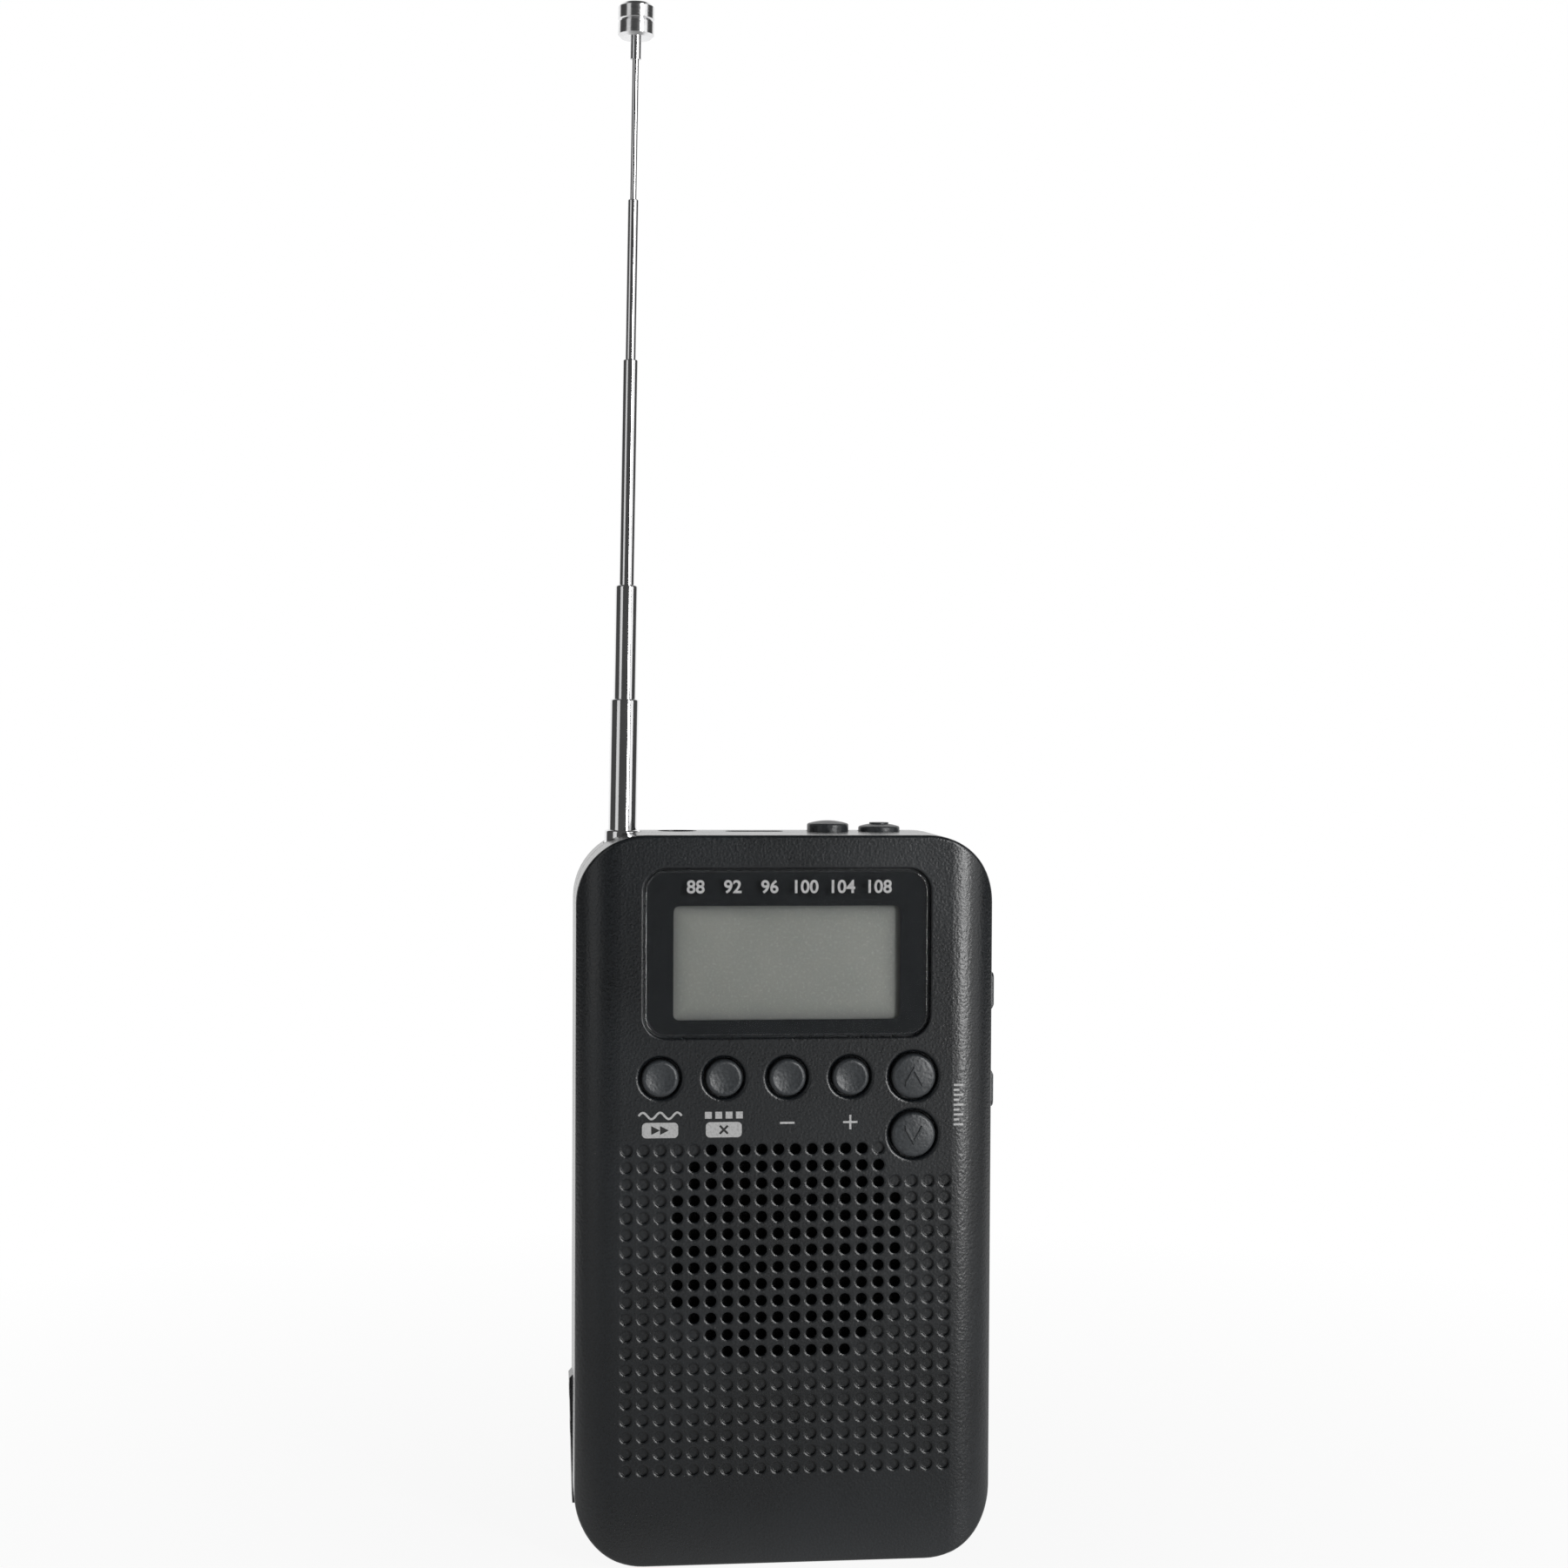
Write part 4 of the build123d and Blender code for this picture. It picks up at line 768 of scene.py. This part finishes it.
def printed(name, flat, node, finish, layer=1):
    """Ink of a flat outline, given as points (x, z) and faces, laid on the case at the node's front."""
    spots, faces = flat
    count = len(spots)
    front = [(x, front_of(node, x, z) - layer * PRINT_LIFT, z) for x, z in spots]
    back = [(x, y + PRINT_THICK, z) for x, y, z in front]
    sides = [(a, b) for face in faces for a, b in zip(face, face[1:] + face[:1])]
    rims = [(a, b, b + count, a + count) for a, b in sides if (b, a) not in sides]
    behind = [tuple(i + count for i in reversed(face)) for face in faces]
    new_piece(name, front + back, faces + behind + rims, "case", finish)


def joined(flats):
    """Several sets of points and faces as one."""
    spots, faces = [], []
    for more_spots, more_faces in flats:
        faces += [tuple(i + len(spots) for i in face) for face in more_faces]
        spots += more_spots
    return spots, faces


def letters(text, x, z, height):
    """A word or number of that height, with its middle at that place."""
    curve = bpy.data.curves.new("lettering", "FONT")
    curve.body = text
    curve.offset = LETTER_WEIGHT
    source = bpy.data.objects.new("lettering", curve)
    mesh = bpy.data.meshes.new_from_object(source)
    shape = bmesh.new()
    shape.from_mesh(mesh)
    bmesh.ops.remove_doubles(shape, verts=shape.verts, dist=LETTER_WELD)
    shape.verts.index_update()
    wide = [v.co.x for v in shape.verts]
    tall = [v.co.y for v in shape.verts]
    scale = height / (max(tall) - min(tall))
    centre_x = (max(wide) + min(wide)) / 2
    centre_y = (max(tall) + min(tall)) / 2
    spots = [(x + (v.co.x - centre_x) * scale, z + (v.co.y - centre_y) * scale) for v in shape.verts]
    faces = [tuple(v.index for v in face.verts) for face in shape.faces]
    shape.free()
    bpy.data.objects.remove(source)
    bpy.data.curves.remove(curve)
    bpy.data.meshes.remove(mesh)
    return spots, faces


def ribbon_faces(steps):
    """The faces of a ribbon whose points run in pairs, one pair at each end of a step."""
    return [(2 * i, 2 * i + 2, 2 * i + 3, 2 * i + 1) for i in range(steps)]


def block(x, z, width, height, columns=1):
    """A rectangle about that place, in columns where it follows a curved front."""
    across = [x + width * (i / columns - 0.5) for i in range(columns + 1)]
    spots = [(p, q) for p in across for q in (z - height / 2, z + height / 2)]
    return spots, ribbon_faces(columns)


def pill(x, z):
    """A rounded rectangle about that place."""
    spots = []
    for quarter, (right, up) in enumerate(((1, 1), (-1, 1), (-1, -1), (1, -1))):
        corner_x = x + right * (PILL_WIDTH / 2 - PILL_CORNER)
        corner_z = z + up * (PILL_HEIGHT / 2 - PILL_CORNER)
        for step in range(CORNER_STEPS + 1):
            angle = QUARTER_TURN * (quarter + step / CORNER_STEPS)
            across = PILL_CORNER * math.cos(angle)
            rise = PILL_CORNER * math.sin(angle)
            spots.append((corner_x + across, corner_z + rise))
    return spots, [tuple(range(len(spots)))]


def wave(x, z):
    """A ribbon along a sine wave about that place."""
    spots = []
    for step in range(WAVE_STEPS + 1):
        share = step / WAVE_STEPS
        angle = FULL_TURN * WAVE_TURNS * share
        slope = math.cos(angle) * WAVE_HEIGHT * FULL_TURN * WAVE_TURNS / WAVE_WIDTH
        across = Vector((-slope, 1)).normalized() * LINE_WIDTH / 2
        line = Vector((x + WAVE_WIDTH * (share - 0.5), z + WAVE_HEIGHT * math.sin(angle)))
        spots += [tuple(line - across), tuple(line + across)]
    return spots, ribbon_faces(WAVE_STEPS)


def squares(x, z):
    """A row of small squares about that place."""
    places = [x + SQUARE_PITCH * (i - (SQUARE_COUNT - 1) / 2) for i in range(SQUARE_COUNT)]
    return joined([block(place, z, SQUARE_SIZE, SQUARE_SIZE) for place in places])


def cross(x, z, width=CROSS_WIDTH, turn=QUARTER_TURN / 2):
    """A cross of that width about that place, turned onto its corners or upright."""
    arm = width / 2
    half = LINE_WIDTH / 2
    outline = []
    for quarter in range(4):
        angle = turn + QUARTER_TURN * quarter
        along = Vector((math.cos(angle), math.sin(angle)))
        beside = Vector((-along.y, along.x))
        for out, aside in ((arm, -half), (arm, half), (half, half)):
            corner = along * out + beside * aside
            outline.append((x + corner.x, z + corner.y))
    return outline, [tuple(range(len(outline)))]


def arrows(x, z):
    """Two arrowheads in a row, pointing right, about that place."""
    half = ARROW_SIZE / 2
    heads = []
    for tail in (x - ARROW_SIZE, x):
        heads.append(([(tail, z - half), (tail + ARROW_SIZE, z), (tail, z + half)], [(0, 1, 2)]))
    return joined(heads)


def print_dial(ink):
    """Plain numbers along the top of the window."""
    window_low, window_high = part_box("display_window")
    step = DIAL_WIDTH / len(DIAL_NUMBERS)
    centre = (window_low.x + window_high.x) / 2
    z = window_high.z - DIAL_BELOW_EDGE
    places = [centre + step * (i - (len(DIAL_NUMBERS) - 1) / 2) for i in range(len(DIAL_NUMBERS))]
    numbers = [letters(text, x, z, DIAL_HEIGHT) for text, x in zip(DIAL_NUMBERS, places)]
    printed("print_dial_numbers", joined(numbers), "display_window", ink)


def print_key_marks(pale, dark):
    """Under each key of the row, a plain mark, and under the first two a pill with a second mark."""
    band = middle("band_button")
    memory = middle("memory_button")
    down = middle("preset_down_button")
    up = middle("preset_up_button")
    printed("print_band_wave", wave(band.x, band.z - ICON_BELOW), "front_shell", pale)
    printed("print_memory_squares", squares(memory.x, memory.z - ICON_BELOW), "front_shell", pale)
    for name, key, mark in (("band", band, arrows), ("memory", memory, cross)):
        z = key.z - PILL_BELOW
        printed(f"print_{name}_pill", pill(key.x, z), "front_shell", pale)
        printed(f"print_{name}_mark", mark(key.x, z), "front_shell", dark, layer=2)
    minus = block(down.x, down.z - SIGN_BELOW, SIGN_WIDTH, LINE_WIDTH)
    printed("print_preset_minus", minus, "front_shell", pale)
    plus = cross(up.x, up.z - SIGN_BELOW, SIGN_WIDTH, turn=0)
    printed("print_preset_plus", plus, "front_shell", pale)


def print_tuning_scale(ink):
    """A short upright scale of ticks beside the tuning keys."""
    up = middle("tune_up_button")
    down = middle("tune_down_button")
    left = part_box("tune_up_button")[1].x + SCALE_GAP
    ticks = []
    for i in range(SCALE_TICKS):
        z = (up.z + down.z) / 2 + SCALE_HEIGHT * (i / (SCALE_TICKS - 1) - 0.5)
        width = SCALE_SHORT if i % 2 else SCALE_LONG
        ticks.append(block(left + width / 2, z, width, LINE_WIDTH, SCALE_COLUMNS))
    printed("print_tuning_scale", joined(ticks), "front_shell", ink)


def solid_box(low, high):
    """A box between two corners, as points and faces."""
    across, deep, up = zip(low, high)
    points = [(x, y, z) for x in across for y in deep for z in up]
    return points, BOX_FACES


def tongue_contacts(finish):
    """Thin contact strips on both faces of the charging socket's tongue."""
    low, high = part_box("usb_tongue")
    length = (high.z - low.z) * CONTACT_SHARE
    step = (high.x - low.x) / CONTACT_COUNT
    strips = []
    for i in range(CONTACT_COUNT):
        x = low.x + step * (i + 0.5)
        for y in (low.y - CONTACT_THICK, high.y):
            foot = (x - CONTACT_WIDTH / 2, y, high.z - length)
            head = (x + CONTACT_WIDTH / 2, y + CONTACT_THICK, high.z)
            strips.append(solid_box(foot, head))
    points, faces = joined(strips)
    piece = new_piece("charging_contacts", points, faces, "case", finish)


def seen_white(tree, behind):
    """One to the eye all round, and in metal and glass as far as the place is behind."""
    path = add(tree, "LightPath").outputs
    shine = calc(tree, "MAXIMUM", path["Is Glossy Ray"], path["Is Transmission Ray"])
    return calc(tree, "MAXIMUM", path["Is Camera Ray"], calc(tree, "MULTIPLY", shine, behind))


def floor_finish():
    """Pale and matt in the lamps' light, and nearly white where it is looked at."""
    material, tree, shader = new_finish("floor")
    where = object_space(tree)
    cloud = noise(tree, where, FLOOR_CLOUD_SIZE)
    pale = tint(tree, cloud, grey(FLOOR_WHITE), grey(FLOOR_WHITE * FLOOR_CLOUD_SHADE))
    feed(tree, shader, base_color=pale, roughness=FLOOR_ROUGHNESS)
    depth = add(tree, "SeparateXYZ", {"Vector": where}).outputs["Y"]
    seen = seen_white(tree, between(tree, depth, MIRROR_FRONT, 1, MIRROR_FROM, MIRROR_FULL))
    away = add(tree, "VectorMath", {0: where}, operation="LENGTH").outputs["Value"]
    white = between(tree, away, FLOOR_GLOW_NEAR, 1, FLOOR_FADE_FROM, FLOOR_FADE_TO)
    glow = add(tree, "Emission", {"Color": grey(1), "Strength": 1}).outputs["Emission"]
    blend_shaders(tree, calc(tree, "MULTIPLY", seen, white), shader.outputs["BSDF"], glow)
    return material


def make_floor():
    """A round pale floor that stays white to the eye and keeps the object's shadow."""
    ring = [FULL_TURN * i / FLOOR_SIDES for i in range(FLOOR_SIDES)]
    z = cad_low.z - FLOOR_BELOW
    points = [(FLOOR_RADIUS * math.cos(a), FLOOR_RADIUS * math.sin(a), z) for a in ring]
    mesh = bpy.data.meshes.new("floor")
    mesh.from_pydata(points, [], [tuple(range(FLOOR_SIDES))])
    mesh.materials.append(floor_finish())
    floor = bpy.data.objects.new("floor", mesh)
    bpy.context.scene.collection.objects.link(floor)


def make_world():
    """A dim studio in front and a bright backdrop behind, and plain white to the eye."""
    world = bpy.data.worlds.new("studio")
    bpy.context.scene.world = world
    world.use_nodes = True
    tree = world.node_tree
    background = tree.nodes["Background"]
    way = add(tree, "TexCoord").outputs["Generated"]
    depth = add(tree, "SeparateXYZ", {"Vector": way}).outputs["Y"]
    level = between(tree, depth, STUDIO_LEVEL, BACKDROP_LEVEL, BACKDROP_FROM, BACKDROP_FULL)
    white = seen_white(tree, between(tree, depth, 0, 1, BACKDROP_FROM, BACKDROP_FULL))
    tree.links.new(calc(tree, "MAXIMUM", level, white), background.inputs["Strength"])
    background.inputs["Color"].default_value = grey(1)


def make_lamps():
    """Tall softboxes left and right of the camera: a bright one near it, and two broad dim ones."""
    for name, (turn, height, distance, width, length, brightness) in SOFTBOXES.items():
        lamp = bpy.data.lights.new(name, "AREA")
        lamp.shape = "RECTANGLE"
        lamp.size = width
        lamp.size_y = length
        lamp.energy = AREA_LAMP_FACTOR * brightness * width * length
        holder = bpy.data.objects.new(name, lamp)
        angle = math.radians(turn)
        holder.location = (distance * math.sin(angle), -distance * math.cos(angle), height)
        holder.rotation_mode = "QUATERNION"
        holder.rotation_quaternion = (LIGHT_AIM - holder.location).to_track_quat("-Z", "Y")
        holder.visible_camera = False
        bpy.context.scene.collection.objects.link(holder)


def make_camera():
    """The photograph's own viewpoint and lens."""
    ahead = Vector((math.sin(YAW) * math.cos(PITCH), math.cos(YAW) * math.cos(PITCH), -math.sin(PITCH)))
    level = Vector((math.cos(YAW), -math.sin(YAW), 0))
    up = level.cross(ahead)
    right = level * math.cos(ROLL) + up * math.sin(ROLL)
    above = up * math.cos(ROLL) - level * math.sin(ROLL)
    data = bpy.data.cameras.new("camera")
    data.sensor_width = SENSOR_WIDTH
    data.lens = SENSOR_WIDTH * PHOTO_FOCAL / PHOTO_WIDTH
    data.clip_start = CAMERA_NEAR
    camera = bpy.data.objects.new("camera", data)
    turned = Matrix((right, above, -ahead)).transposed().to_4x4()
    camera.matrix_world = Matrix.Translation(VIEWPOINT) @ turned
    bpy.context.scene.collection.objects.link(camera)
    bpy.context.scene.camera = camera


bpy.context.scene.view_settings.view_transform = "Standard"
finishes = dress_frame()
pale = pale_ink("pale_ink")
print_dial(pale)
print_key_marks(pale, dark_ink("dark_ink"))
print_tuning_scale(pale)
tongue_contacts(finishes["contact_brass"])
make_floor()
make_world()
make_lamps()
make_camera()
